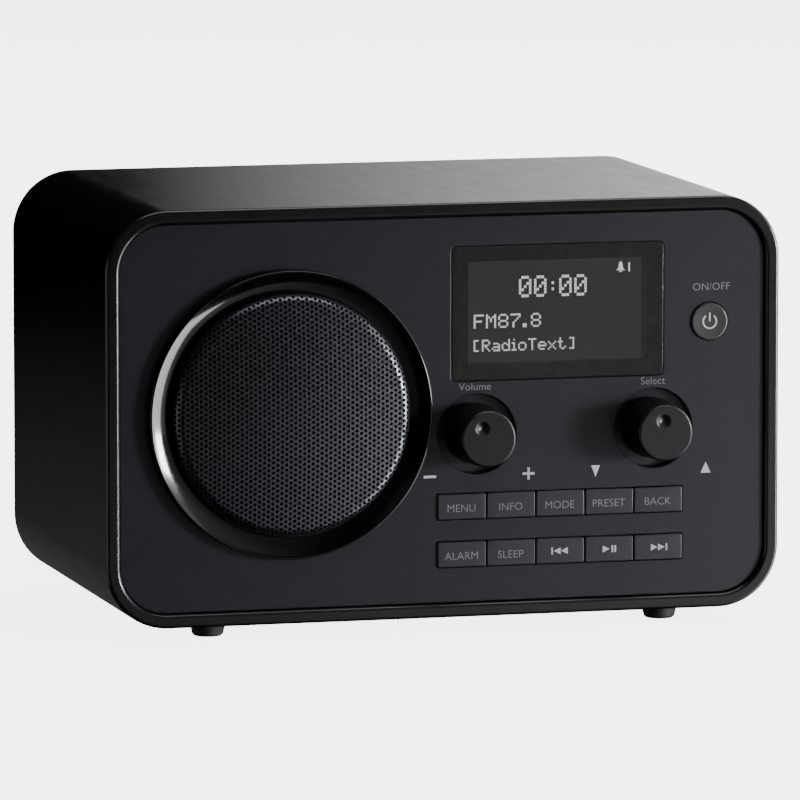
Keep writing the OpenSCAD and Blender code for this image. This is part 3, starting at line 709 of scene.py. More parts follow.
@dataclass
class Cabinet:
    """The lacquered sleeve: one wall profile carried round a rounded rectangle."""

    corner_r: float = 22.5 * MM
    wall: float = 9 * MM
    rim: float = 5 * MM
    rim_round: float = 1.3 * MM
    front_rebate: float = 5 * MM
    rear_rebate: float = 4 * MM
    corner_steps: int = 20
    at: Place = Place("cabinet")

    def build(self) -> None:
        """Builds and dresses the sleeve."""
        y0, y1, e = self.at.front, self.at.back, self.rim_round
        wall = softened([
            (0, y0, e), (0, y1, e), (-self.rim, y1, e / 2), (-self.rim, y1 - self.rear_rebate, 0),
            (-self.wall, y1 - self.rear_rebate, 0), (-self.wall, y0 + self.front_rebate, 0),
            (-self.rim, y0 + self.front_rebate, 0), (-self.rim, y0, e),
        ], closed=True, steps=7)
        shell = Shell()
        shell.grid(self.at.frame(self.corner_r, self.corner_steps).carried(wall))
        place(shell.build("cabinet_sleeve"), "housing", "cabinet_lacquer", "cabinet")


@dataclass
class FrontPanel:
    """The moulded front: a plate with rounded openings and two dial wells."""

    corner_r: float = 17.25 * MM
    edge: float = 0.45 * MM
    lip: float = 0.3 * MM
    thick: float = 3 * MM
    speaker_r: float = 46 * MM
    well_r: float = 14.5 * MM
    well_deep: float = 4 * MM
    well_floor: float = 1.6 * MM
    bush_r: float = 3.75 * MM
    key_gap: float = 0.25 * MM
    key_flange: float = 1.2 * MM
    key_corner: float = 0.4 * MM
    window_r: float = 2.05 * MM
    lip_land: float = 0.3 * MM
    rim_land: float = 0.4 * MM
    cup_wall: float = 1.6 * MM
    well_lip: float = 0.4 * MM
    well_foot: float = 0.6 * MM
    hub_lip: float = 0.2 * MM
    at: Place = Place("front_panel")

    def openings(self) -> list[Outline]:
        """Returns: the through openings for the speaker, window, key rows and power button."""
        gap = self.key_gap
        ring, window, power = Place("speaker_ring"), Place("display_window"), Place("power_button")
        made = [
            ring.disc(self.speaker_r, 40),
            window.frame(self.window_r, 6, gap),
            power.disc(power.size[0] / 2 - self.key_flange + gap, 20),
        ]
        for first, last in (("menu_key", "back_key"), ("alarm_key", "next_key")):
            a, b = Place(first), Place(last)
            made.append(Outline(
                (a.low[0] + b.high[0]) / 2, a.middle[2], b.high[0] - a.low[0] + 2 * gap,
                a.size[2] - 2 * self.key_flange + 2 * gap, self.key_corner, 4))
        return made

    def wells(self) -> list[Outline]:
        """Returns: the outlines of the two dial wells."""
        return [Place(knob).disc(self.well_r, 28) for knob in ("volume_knob", "select_knob")]

    def build(self) -> None:
        """Builds and dresses the panel: two flat plates joined by a rounded wall at each opening,
        and a cup behind each well."""
        y0 = self.at.front
        y1 = y0 + self.thick
        inset = self.lip + self.lip_land
        land = inset + self.rim_land
        outer = self.at.frame(self.corner_r, 16)
        shell = Shell()
        shell.grid(outer.carried(softened([(-land, y0, 0), (0, y0, self.edge), (0, y1, 0), (-land, y1, 0)])))
        for hole in self.openings():
            shell.grid(hole.carried(softened([
                (inset, y0, 0), (0, y0, self.lip), (0, y1, 0), (inset, y1, 0)])))
        floor, deep = y0 + self.well_deep, y0 + self.well_deep + self.well_floor
        hub = self.bush_r - self.well_r
        cup = self.cup_wall
        for well in self.wells():
            shell.grid(well.carried(softened([
                (inset, y0, 0), (0, y0, self.well_lip), (0, floor, self.well_foot),
                (hub, floor, self.hub_lip), (hub, deep, 0), (cup, deep, 0), (cup, y1, 0)])))
        rim = outer.loop(-land)
        through = [(hole, inset) for hole in self.openings()]
        shell.plate(rim, through + [(well, inset) for well in self.wells()], y0)
        shell.plate(rim, through + [(well, cup) for well in self.wells()], y1)
        place(shell.build("front_fascia"), "housing", "panel_plastic", "front_panel")


@dataclass
class Feet:
    """Four turned rubber feet."""

    top_r: float = 6.5 * MM
    low_r: float = 5.7 * MM
    sole_r: float = 4.9 * MM
    recess_r: float = 3.2 * MM
    heel_h: float = 0.8 * MM
    side_round: float = 0.6 * MM
    sole_round: float = 0.2 * MM
    recess_round: float = 0.3 * MM
    steps: int = 48
    at: Place = Place("feet")

    def build(self) -> None:
        """Builds the feet: a profile of radius against height, turned about each foot's axis."""
        low, high = self.at.low, self.at.high
        top = high[2]
        line = softened([
            (0, top, 0), (self.top_r, top, 0), (self.low_r, self.heel_h, self.side_round),
            (self.sole_r, 0, self.sole_round), (self.recess_r, 0, self.recess_round),
            (self.recess_r, top / 2, 0), (0, top / 2, 0)])
        turn = np.arange(self.steps) * (2 * math.pi / self.steps)
        radius, height = line[:, 0, None], line[:, 1, None]
        foot = np.stack([radius * np.cos(turn), radius * np.sin(turn), height + 0 * turn], -1)
        shell = Shell()
        for x in (low[0] + self.top_r, high[0] - self.top_r):
            for y in (low[1] + self.top_r, high[1] - self.top_r):
                shell.grid(foot + np.array([x, y, 0]))
        place(shell.build("rubber_feet"), "housing", "foot_rubber", "feet")


# ---------------------------------------------------------------- speaker


@dataclass
class SpeakerTrim:
    """The glossy ring round the grille, with a dished face."""

    face_w: float = 8.3 * MM
    lip: float = 1 * MM
    seat: float = 1 * MM
    dish: float = 0.45
    dish_steps: int = 14
    batter: float = 0.35 * MM
    outer_round: float = 0.4 * MM
    lip_round: float = 0.3 * MM
    bore_round: float = 0.25 * MM
    at: Place = Place("speaker_ring")

    def build(self) -> None:
        """Builds the ring: a closed profile of radius against depth, turned about its axis. Across the
        face the profile rises by the rise times (d u + (1 - d) u squared), with u from bore to lip."""
        outer = self.at.size[0] / 2
        bore = outer - self.face_w
        y0, y1 = self.at.front, self.at.back
        out = np.linspace(1, 0, self.dish_steps)
        low = y1 - self.seat
        dish = np.stack([bore + (self.face_w - self.lip) * out,
                         low - (low - y0) * (self.dish * out + (1 - self.dish) * out ** 2)], -1)
        line = softened([
            (outer, y1, 0), (outer - self.batter, y0, self.outer_round), (*dish[0], self.lip_round),
            *[(r, y, 0.0) for r, y in dish[1:-1].tolist()],
            (bore, low, self.bore_round), (bore, y1, 0)], steps=8)
        line = np.vstack([line, line[:1]]) - np.array([outer, 0])
        shell = Shell()
        shell.grid(self.at.disc(outer, 48).carried(line))
        place(shell.build("trim_ring"), "housing", "ring_gloss", "speaker_ring")


@dataclass
class Grille:
    """The domed grille with its staggered round holes, each in a six-sided cell.

    The sheet is laid out flat and then wrapped onto the dome, so that distance from the axis on the
    flat sheet is distance along the dome's profile.
    """

    shoulder: float = 4 * MM
    crown: float = 2.4 * MM
    metal: float = 0.8 * MM
    pitch: float = 1.88 * MM
    hole_r: float = 0.62 * MM
    plain_edge: float = 1.3 * MM
    skin_steps: int = 48
    crown_steps: int = 40
    bend_steps: int = 14
    skirt_steps: int = 3
    sheet_over: float = 0.15
    at: Place = Place("grille")
    skirt_r: float = 43.7 * MM

    def line(self) -> Array:
        """The outer profile from the axis to the foot of the skirt: the crown's arc, the shoulder's
        quarter turn and the straight skirt.

        Returns:
            Rows of (radius, depth).
        """
        flat = self.skirt_r - self.shoulder
        crown_r = (flat ** 2 + self.crown ** 2) / (2 * self.crown)
        r = np.linspace(0, flat, self.crown_steps)
        top = self.at.front
        crown = np.stack([r, top + crown_r - np.sqrt(crown_r ** 2 - r ** 2)], -1)
        turn = np.linspace(0, math.pi / 2, self.bend_steps)[1:]
        centre = top + self.crown + self.shoulder
        bend = np.stack([flat + self.shoulder * np.sin(turn), centre - self.shoulder * np.cos(turn)], -1)
        foot = self.at.back - self.metal
        skirt = np.linspace([self.skirt_r, centre], [self.skirt_r, foot], self.skirt_steps + 1)[1:]
        return np.vstack([crown, bend, skirt])

    def wrap(self, flat: Array, inset: float) -> Array:
        """Wraps points of the flat sheet onto the dome.

        Args:
            flat: (x, z) points about the axis.
            inset: how far below the outer face, along its normal.

        Returns:
            The points in the row frame.
        """
        line = self.line()
        step = np.gradient(line, axis=0)
        step /= np.linalg.norm(step, axis=1, keepdims=True)
        inner = line + inset * np.stack([-step[:, 1], step[:, 0]], -1)
        along = np.concatenate([[0], np.cumsum(np.linalg.norm(np.diff(line, axis=0), axis=1))])
        away = np.hypot(flat[..., 0], flat[..., 1])
        radius = np.interp(away, along, inner[:, 0])
        depth = np.interp(away, along, inner[:, 1])
        way = flat / np.maximum(away, 1e-9)[..., None]
        return upright(np.array(self.at.centre) + radius[..., None] * way, depth)

    def centres(self, reach: float) -> Array:
        """The hole centres: columns pitch times half the root of 3 apart, every other one shifted by
        half a pitch.

        Args:
            reach: how far from the axis they go.

        Returns:
            (x, z) of each centre about the axis.
        """
        wide = self.pitch * math.sqrt(3) / 2
        n = int(reach / wide) + 2
        column, row = np.meshgrid(np.arange(-n, n + 1), np.arange(-n, n + 1), indexing="ij")
        points = np.stack([column * wide, (row + 0.5 * (column % 2)) * self.pitch], -1).reshape(-1, 2)
        return points[np.hypot(points[:, 0], points[:, 1]) < reach]

    def build(self) -> None:
        """Builds the perforated sheet: the cells, the plain band outside them and the skirt."""
        line = self.line()
        along = np.concatenate([[0], np.cumsum(np.linalg.norm(np.diff(line, axis=0), axis=1))])
        skirt = line[-1, 1] - line[-1 - self.skirt_steps, 1]
        edge = along[-1] - skirt - self.sheet_over * self.shoulder
        cell_r = self.pitch / math.sqrt(3)
        holes = self.centres(edge - self.plain_edge)
        turn = np.arange(12) * (math.pi / 6)
        way = np.stack([np.cos(turn), np.sin(turn)], -1)
        out = np.where(np.arange(12) % 2 == 0, cell_r, self.pitch / 2)[:, None] * way
        rim, bore = holes[:, None] + out, holes[:, None] + self.hole_r * way
        shell = Shell()
        k = np.arange(12)
        ring = np.stack([k, (k + 1) % 12, 12 + (k + 1) % 12, 12 + k], -1)
        for inset in (0.0, self.metal):
            both = np.concatenate([rim, bore], 1)
            faces = (np.arange(len(holes))[:, None, None] * 24 + ring).reshape(-1, 4)
            shell.add(self.wrap(both, inset).reshape(-1, 3), faces)
        walls = np.concatenate([self.wrap(bore, 0.0), self.wrap(bore, self.metal)], 1)
        shell.add(walls.reshape(-1, 3), faces)
        self._band(shell, rim, holes, edge)
        self._skirt(shell, edge, along[-1])
        place(shell.build("perforated_grille", 40), "housing", "grille_metal", "grille")

    def _band(self, shell: Shell, rim: Array, holes: Array, edge: float) -> None:
        """Adds the plain band between the outermost cells and a circle, on both faces.

        Args:
            shell: the mesh it joins.
            rim: the cells' corner points.
            holes: the cells' centres.
            edge: the circle's radius on the flat sheet.
        """
        flat = np.round(rim.reshape(-1, 2), 7)
        points, index = np.unique(flat, axis=0, return_inverse=True)
        index = index.reshape(-1, 12)
        pairs = np.sort(np.stack([index, np.roll(index, -1, 1)], -1).reshape(-1, 2), 1)
        edges, uses = np.unique(pairs, axis=0, return_counts=True)
        edges = edges[uses == 1]
        used, edges = np.unique(edges, return_inverse=True)
        edges = edges.reshape(-1, 2)
        points = points[used]
        ring = disc(0, 0, edge, self.skin_steps).loop()
        edges = np.vstack([edges, ring_edges(len(ring), len(points))])
        flat, faces = triangulated(np.vstack([points, ring]), edges)
        middle = flat[faces].mean(1)
        every = self.centres(edge + self.pitch)
        taken = np.linalg.norm(every[:, None] - holes[None], axis=2).min(1) < 1e-7
        nearest = np.linalg.norm(middle[:, None] - every[None], axis=2).argmin(1)
        faces = faces[~taken[nearest]]
        for inset in (0.0, self.metal):
            shell.add(self.wrap(flat, inset), faces)

    def _skirt(self, shell: Shell, edge: float, end: float) -> None:
        """Adds the shoulder, the skirt and the flange behind the panel, outside and inside.

        Args:
            shell: the mesh it joins.
            edge: the radius on the flat sheet where it starts.
            end: the length of the profile.
        """
        ring = disc(0, 0, 1, self.skin_steps).loop()
        away = np.linspace(edge, end - 0.05 * MM, self.bend_steps)[:, None, None]
        outer, inner = self.wrap(away * ring, 0.0), self.wrap(away * ring, self.metal)
        flange = self.at.size[0] / 2
        y1 = self.at.back
        rows = np.array([
            (self.skirt_r, y1 - self.metal), (flange, y1 - self.metal), (flange, y1),
            (self.skirt_r - self.metal, y1)])
        foot = upright(np.array(self.at.centre) + rows[:, 0, None, None] * ring, rows[:, 1, None])
        shell.grid(np.concatenate([outer, foot, inner[::-1]]))


# ---------------------------------------------------------------- display


GLYPHS = {
    "0": "01110 10001 10011 10101 11001 10001 01110",
    "7": "11111 00001 00010 00100 01000 01000 01000",
    "8": "01110 10001 10001 01110 10001 10001 01110",
    ":": "000 000 010 000 010 000 000",
    ".": "000 000 000 000 000 110 110",
    "F": "11111 10000 10000 11110 10000 10000 10000",
    "M": "10001 11011 10101 10101 10001 10001 10001",
    "[": "1110 1000 1000 1000 1000 1000 1110",
    "]": "0111 0001 0001 0001 0001 0001 0111",
    "R": "11110 10001 10001 11110 10100 10010 10001",
    "T": "11111 00100 00100 00100 00100 00100 00100",
    "a": "00000 00000 01110 00001 01111 10001 01111",
    "d": "00001 00001 01101 10011 10001 10001 01111",
    "e": "00000 00000 01110 10001 11111 10000 01110",
    "i": "010 000 110 010 010 010 111",
    "o": "00000 00000 01110 10001 10001 10001 01110",
    "t": "01000 01000 11100 01000 01000 01001 00110",
    "x": "00000 00000 10001 01010 00100 01010 10001",
}
"""Each character as seven rows of dots, from the top down."""


@dataclass
class Display:
    """The smoked window, and the lit dots behind it on the frame's display glass."""

    bevel: float = 0.35 * MM
    border: float = 0.8 * MM
    window_r: float = 1.8 * MM
    dot: float = 0.62 * MM
    dot_fill: float = 0.86
    dot_lift: float = 0.04 * MM
    dot_thick: float = 0.05 * MM
    window: Place = Place("display_window")
    glass: Place = Place("lcd_panel")

    def line(self, text: str, left: float, low: float, wide: float, high: float) -> Array:
        """Works out a line's dots from its characters' rows.

        Args:
            text: the characters.
            left: the line's left edge.
            low: the line's lower edge.
            wide: a dot's pitch across.
            high: a dot's pitch upwards.

        Returns:
            Rows of (x, z, half width, half height).
        """
        columns = [np.array([[int(c) for c in row] for row in GLYPHS[ch].split()]) for ch in text]
        gap = np.zeros((7, 1), int)
        lit = np.hstack([part for glyph in columns for part in (glyph, gap)])
        row, column = np.nonzero(lit)
        x, z = left + (column + 0.5) * wide, low + (6.5 - row) * high
        size = np.full(len(x), self.dot_fill / 2)
        return np.stack([x, z, size * wide, size * high], -1)

    def dots(self, name: str, spots: Array) -> None:
        """Builds one thin box for each dot.

        Args:
            name: the piece's name.
            spots: rows of (x, z, half width, half height).
        """
        corner = np.array([[x, y, z] for x in (-1, 1) for y in (0, 1) for z in (-1, 1)], float)
        scale = upright(spots[:, 2:], self.dot_thick)
        start = upright(spots[:, :2], self.glass.front - self.dot_lift)
        box = np.array([[0, 1, 3, 2], [4, 6, 7, 5], [0, 4, 5, 1], [2, 3, 7, 6], [0, 2, 6, 4], [1, 5, 7, 3]])
        faces = (np.arange(len(spots))[:, None, None] * 8 + box).reshape(-1, 4)
        shell = Shell()
        shell.add((start[:, None] + corner * scale[:, None]).reshape(-1, 3), faces)
        place(shell.build(name), "housing", "lcd_glass", finish=PALETTE.lit_dots)

    def build(self) -> None:
        """Builds the window and what it shows: a clock, a station's frequency and a line of text."""
        at = self.window
        x, z = at.centre
        edge = at.frame(self.window_r, 8)
        shell = Shell()
        shell.grid(edge.carried(softened([
            (-self.border, at.front, 0), (0, at.front, self.bevel),
            (0, at.back, self.bevel / 2), (-self.border, at.back, 0)])))
        for y in (at.front, at.back):
            shell.plate(edge.loop(-self.border), [], y)
        place(shell.build("smoked_window"), "housing", "window_smoke", "display_window")
        # piece, text, left and low edge from the window's middle in mm, dot pitches in dots
        lines = (
            ("display_clock", "00:00", -12.85, 4.6, 1.52, 1.8),
            ("display_station", "FM87.8", -29.7, -6.2, 1.23, 1.17),
            ("display_text", "[RadioText]", -29.7, -14.6, 0.995, 1.0),
        )
        for name, text, left, low, wide, high in lines:
            self.dots(name, self.line(text, x + left * MM, z + low * MM, self.dot * wide, self.dot * high))
        self._alarm_mark(x + 25.3 * MM, z + 14.5 * MM)

    def _alarm_mark(self, x: float, z: float) -> None:
        """Builds the alarm mark: a small bell, and a bar beside it, centred at (x, z)."""
        turn = np.linspace(0, math.pi, 9)
        dome = np.stack([np.cos(turn) * 0.75, 0.6 + np.sin(turn) * 1.5], -1)
        bell = np.vstack([[(1.75, -1.1), (0.95, -0.5)], dome, [(-0.95, -0.5), (-1.75, -1.1)]])
        bar = np.array([(2.9, -1.6), (3.5, -1.6), (3.5, 1.7), (2.9, 1.7)])
        clapper = np.array([(-0.5, -1.7), (0.5, -1.7), (0.5, -1.25), (-0.5, -1.25)])
        front = self.glass.front - self.dot_lift
        shell = Shell()
        for flat in (bell, bar, clapper):
            shell.prism(flat * MM + np.array([x, z]), front, front + self.dot_thick)
        place(shell.build("display_alarm_mark"), "housing", "lcd_glass", finish=PALETTE.lit_dots)


# ---------------------------------------------------------------- dials, keys and power button


@dataclass
class Dial:
    """A dial's knob with a finger dimple in its face."""

    name: str
    node: str
    body: str
    dimple_turn: float
    face_r: float = 10.25 * MM
    base_r: float = 11 * MM
    chamfer: float = 0.75 * MM
    dimple_r: float = 2.7 * MM
    dimple_deep: float = 1.25 * MM
    dimple_at: float = 4.5 * MM
    rim_drop: tuple[float, float] = (0.12 * MM, 0.62 * MM)
    skirt_h: float = 1.8 * MM
    skirt_slope: tuple[float, float] = (0.1 * MM, 0.4 * MM)
    wall: float = 2.2 * MM
    hollow_deep: float = 5 * MM
    hub_wall: float = 1.6 * MM
    bore_r: float = 3 * MM
    bore_deep: float = 14 * MM
    rings: int = 56
    steps: int = 36

    def build(self) -> None:
        """Builds the knob. The face's depth falls by dimple depth times (1 - q squared) to the power
        1.4, where q is the distance from the dimple's middle over its radius; the rest is turned."""
        at = Place(self.node)
        y0, y1 = at.front, at.back
        rim = self.face_r - self.chamfer
        reach = np.linspace(0, rim, self.rings)
        flat = disc(0, 0, 1, self.steps).loop() * reach[:, None, None]
        turn = math.radians(self.dimple_turn)
        spot = self.dimple_at * np.array([math.cos(turn), math.sin(turn)])
        q = np.linalg.norm(flat - spot, axis=-1) / self.dimple_r
        deep = self.dimple_deep * np.clip(1 - q ** 2, 0, 1) ** 1.4
        hollow, roof = self.base_r - self.wall, y0 + self.hollow_deep
        hub, blind, skirt = self.bore_r + self.hub_wall, y1 - self.bore_deep, y1 - self.skirt_h
        side = softened([
            (rim, y0, 0), (self.face_r - self.rim_drop[0], y0 + self.rim_drop[1], 0.5 * MM),
            (self.base_r - self.skirt_slope[0], skirt - self.skirt_slope[1], 0.6 * MM),
            (self.base_r, skirt, 0.3 * MM), (self.base_r, y1, 0.25 * MM),
            (hollow, y1, 0.3 * MM), (hollow, roof, 0.5 * MM), (hub, roof, 0.5 * MM), (hub, y1, 0.2 * MM),
            (self.bore_r, y1, 0.2 * MM), (self.bore_r, blind, 0), (0, blind, 0)])
        shell = Shell()
        shell.grid(upright(np.array(at.centre) + flat, y0 + deep))
        shell.grid(at.disc(self.face_r, self.steps).carried(side - np.array([self.face_r, 0])))
        place(shell.build(self.name, 50), self.body, "knob_plastic", self.node)


@dataclass(frozen=True)
class Push:
    """What the keys and the power button share."""

    flange: float = 1.2 * MM
    flange_t: float = 1 * MM
    deep: float = 4.1 * MM
    edge: float = 0.5 * MM
    nub_r: float = 1.5 * MM
    ink_back: float = 0.25 * MM


PUSH = Push()


@dataclass
class KeyPad:
    """Ten keys in two rows, each with a softly crowned face and its legend."""

    crown: float = 0.12 * MM
    crown_rings: int = 12
    corner_r: float = 0.55 * MM
    flange_corner: float = 0.3 * MM
    cap: float = 2.88 * MM
    words: dict[str, str] = field(default_factory=lambda: {
        "menu": "MENU", "info": "INFO", "mode": "MODE", "preset": "PRESET", "back": "BACK",
        "alarm": "ALARM", "sleep": "SLEEP"})

    def build(self) -> None:
        """Builds every key, then prints its word or its playback sign."""
        for key in (*self.words, "previous", "play", "next"):
            self._key(key)
        for key, word in self.words.items():
            at = Place(key + "_key")
            ink = lettering(key + "_legend", word, at.middle[0] - 0.2 * MM, at.middle[2] - 0.4 * MM, self.cap,
                            at.front, at.front + PUSH.ink_back, 0.012)
            place(ink, key + "_key", "key_plastic", finish=PALETTE.legend_ink)
        self._sign("previous", [self._bar(-3.1), self._arrow(-1.2, -1), self._arrow(1.5, -1)])
        self._sign("play", [self._arrow(-1.2, 1), self._bar(1.1), self._bar(2.2)])
        self._sign("next", [self._arrow(-1.5, 1), self._arrow(1.2, 1), self._bar(3.1)])

    def _key(self, key: str) -> None:
        """Builds one key: rings of a rounded rectangle shrink over the rounded edge, then towards the
        middle while the face rises by the crown times (1 - s squared), with s the rings' share."""
        at = Place(key + "_key")
        x, z = at.centre
        y0, y1 = at.front, at.front + PUSH.deep
        foot = y1 + PUSH.flange_t
        face = y0 + self.crown
        shape = Outline(x, z, at.size[0], at.size[2] - 2 * PUSH.flange, self.corner_r, 5)
        side = shape.carried(softened(
            [(-PUSH.edge, face, 0), (0, face, PUSH.edge * 0.75), (0, y1, 0)], guard=0.02 * MM))
        s = np.linspace(1, 0, self.crown_rings)[:, None, None]
        middle = np.array([x, 0, z])
        top = middle + (side[0] - middle) * s
        top[..., 1] = y0 + self.crown * s[..., 0] ** 2
        skirt, round_nub = at.frame(self.flange_corner, 5), at.disc(PUSH.nub_r, 6)
        nub = round_nub.carried(np.array([(0, foot), (0, at.back)]))
        shell = Shell()
        shell.grid(top)
        shell.grid(side)
        self._step(shell, side[-1], skirt.loop(), y1, shape)
        shell.grid(skirt.carried(np.array([(0, y1), (0, foot)])))
        self._step(shell, nub[0], skirt.loop(), foot, round_nub)
        shell.grid(nub)
        shell.cap(nub[-1])
        place(shell.build(key + "_keycap", 50), key + "_key", "key_plastic", key + "_key")

    @staticmethod
    def _step(shell: Shell, inner: Array, outer: Array, y: float, hole: Outline) -> None:
        """Adds the flat step between a hole's outline and a wider one at depth y."""
        if np.allclose(outer[:, 0].min(), inner[:, 0].min(), atol=1e-6):
            near, far = outer[outer[:, 1] > hole.z], outer[outer[:, 1] < hole.z]
            top, low = inner[inner[:, 2] > hole.z], inner[inner[:, 2] < hole.z]
            for edge, wall in ((near, top), (far, low)):
                shell.cap(np.vstack([upright(edge, y), wall[::-1]]))
        else:
            shell.plate(outer, [(hole, 0.0)], y)

    @staticmethod
    def _bar(x: float) -> Array:
        """Returns: a narrow upright bar centred at x millimetres."""
        return np.array([(x - 0.3, -1.25), (x + 0.3, -1.25), (x + 0.3, 1.25), (x - 0.3, 1.25)]) * MM

    @staticmethod
    def _arrow(x: float, way: int) -> Array:
        """Returns: a triangle centred at x millimetres that points right for 1 and left for -1."""
        return np.array([(x - 1.3 * way, -1.25), (x + 1.3 * way, 0), (x - 1.3 * way, 1.25)]) * MM

    def _sign(self, key: str, shapes: Sequence[Array]) -> None:
        """Prints a playback sign on a key.

        Args:
            key: the key's name.
            shapes: the sign's outlines about the key's middle.
        """
        at = Place(key + "_key")
        shell = Shell()
        for flat in shapes:
            shell.prism(flat + np.array(at.centre), at.front, at.front + PUSH.ink_back)
        place(shell.build(key + "_legend"), key + "_key", "key_plastic", finish=PALETTE.symbol_ink)


@dataclass
class PowerButton:
    """The round button with its standby sign."""

    dish: float = 0.25 * MM
    rim_w: float = 0.55 * MM
    rim_drop: float = 0.2 * MM
    sign_r: float = 2.5 * MM
    stroke: float = 0.28 * MM
    gap_deg: float = 38.0
    sign_front: float = 0.02 * MM
    sign_back: float = 0.4 * MM

    def build(self) -> None:
        """Builds the turned button and prints the sign: an open ring and an upright bar."""
        at = Place("power_button")
        wide = at.size[0] / 2
        r = wide - PUSH.flange
        y0, y1 = at.front, at.front + PUSH.deep
        foot = y1 + PUSH.flange_t
        line = softened([
            (0, y0 + self.dish, 0), (r * 0.55, y0 + self.dish * 0.64, 3 * MM), (r - self.rim_w, y0, 0.5 * MM),
            (r, y0 + self.rim_drop, PUSH.edge * 0.4), (r, y1, 0), (wide, y1, 0), (wide, foot, 0),
            (PUSH.nub_r, foot, 0), (PUSH.nub_r, at.back, 0), (0, at.back, 0)])
        shell = Shell()
        shell.grid(at.disc(r, 24).carried(line - np.array([r, 0])))
        place(shell.build("power_cap"), "power_button", "power_plastic", "power_button")
        gap = math.radians(self.gap_deg)
        turn = np.linspace(math.pi / 2 + gap, 2.5 * math.pi - gap, 30)
        way = np.stack([np.cos(turn), np.sin(turn)], -1)
        arc = np.vstack([way * (self.sign_r + self.stroke), way[::-1] * (self.sign_r - self.stroke)])
        bar = np.array([(-1, 0.1), (1, 0.1), (1, 11.5), (-1, 11.5)]) * self.stroke
        sign = Shell()
        for flat in (arc, bar):
            sign.prism(flat + np.array(at.centre), y0 + self.sign_front, y0 + self.sign_back)
        place(sign.build("power_sign"), "power_button", "power_plastic", finish=PALETTE.symbol_ink)


@dataclass
class Legends:
    """The words and signs printed on the front panel."""

    ink: float = 0.03 * MM
    ink_back: float = 0.2 * MM
    word_cap: float = 2.85 * MM
    sign_span: float = 19.6 * MM
    sign_low: float = 15 * MM

    def build(self) -> None:
        """Prints the dials' words, the power word and the dials' signs."""
        face = Place("front_panel").front
        front, back = face - self.ink, face + self.ink_back
        volume, select, power = Place("volume_knob"), Place("select_knob"), Place("power_button")
        # piece, text, the control that it names, and its place from that control's middle in mm
        words = (
            ("volume_word", "Volume", volume, -0.9, 17.3),
            ("select_word", "Select", select, -0.2, 17.3),
            ("power_word", "ON/OFF", power, 0.8, 12.7),
        )
        for name, word, at, across, up in words:
            x, z = at.middle[0] + across * MM, at.middle[2] + up * MM
            place(lettering(name, word, x, z, self.word_cap, front, back, 0.012), "housing", "panel_plastic",
                  finish=PALETTE.legend_ink)
        minus = np.array([(-2.35, -0.45), (2.35, -0.45), (2.35, 0.45), (-2.35, 0.45)]) * MM
        stem = minus[:, ::-1] * np.array([1, 0.94])
        down = np.array([(-1.65, 2.1), (0, -2.1), (1.65, 2.1)]) * MM
        up = np.array([(-1.85, -2.0), (1.85, -2.0), (0, 2.0)]) * MM
        left, right = volume.middle[0], select.middle[0]
        signs = (
            ("minus_sign", [minus * 0.98], left - self.sign_span + 2.0 * MM),
            ("plus_sign", [minus * np.array([0.94, 1]), stem], left + self.sign_span - 0.4 * MM),
            ("down_sign", [down], right - self.sign_span - 2.1 * MM),
            ("up_sign", [up], right + self.sign_span + 0.2 * MM),
        )
        for name, shapes, x in signs:
            shell = Shell()
            for flat in shapes:
                shell.prism(flat + np.array([x, volume.middle[2] - self.sign_low]), front, back)
            place(shell.build(name), "housing", "panel_plastic", finish=PALETTE.symbol_ink)


# ---------------------------------------------------------------- back


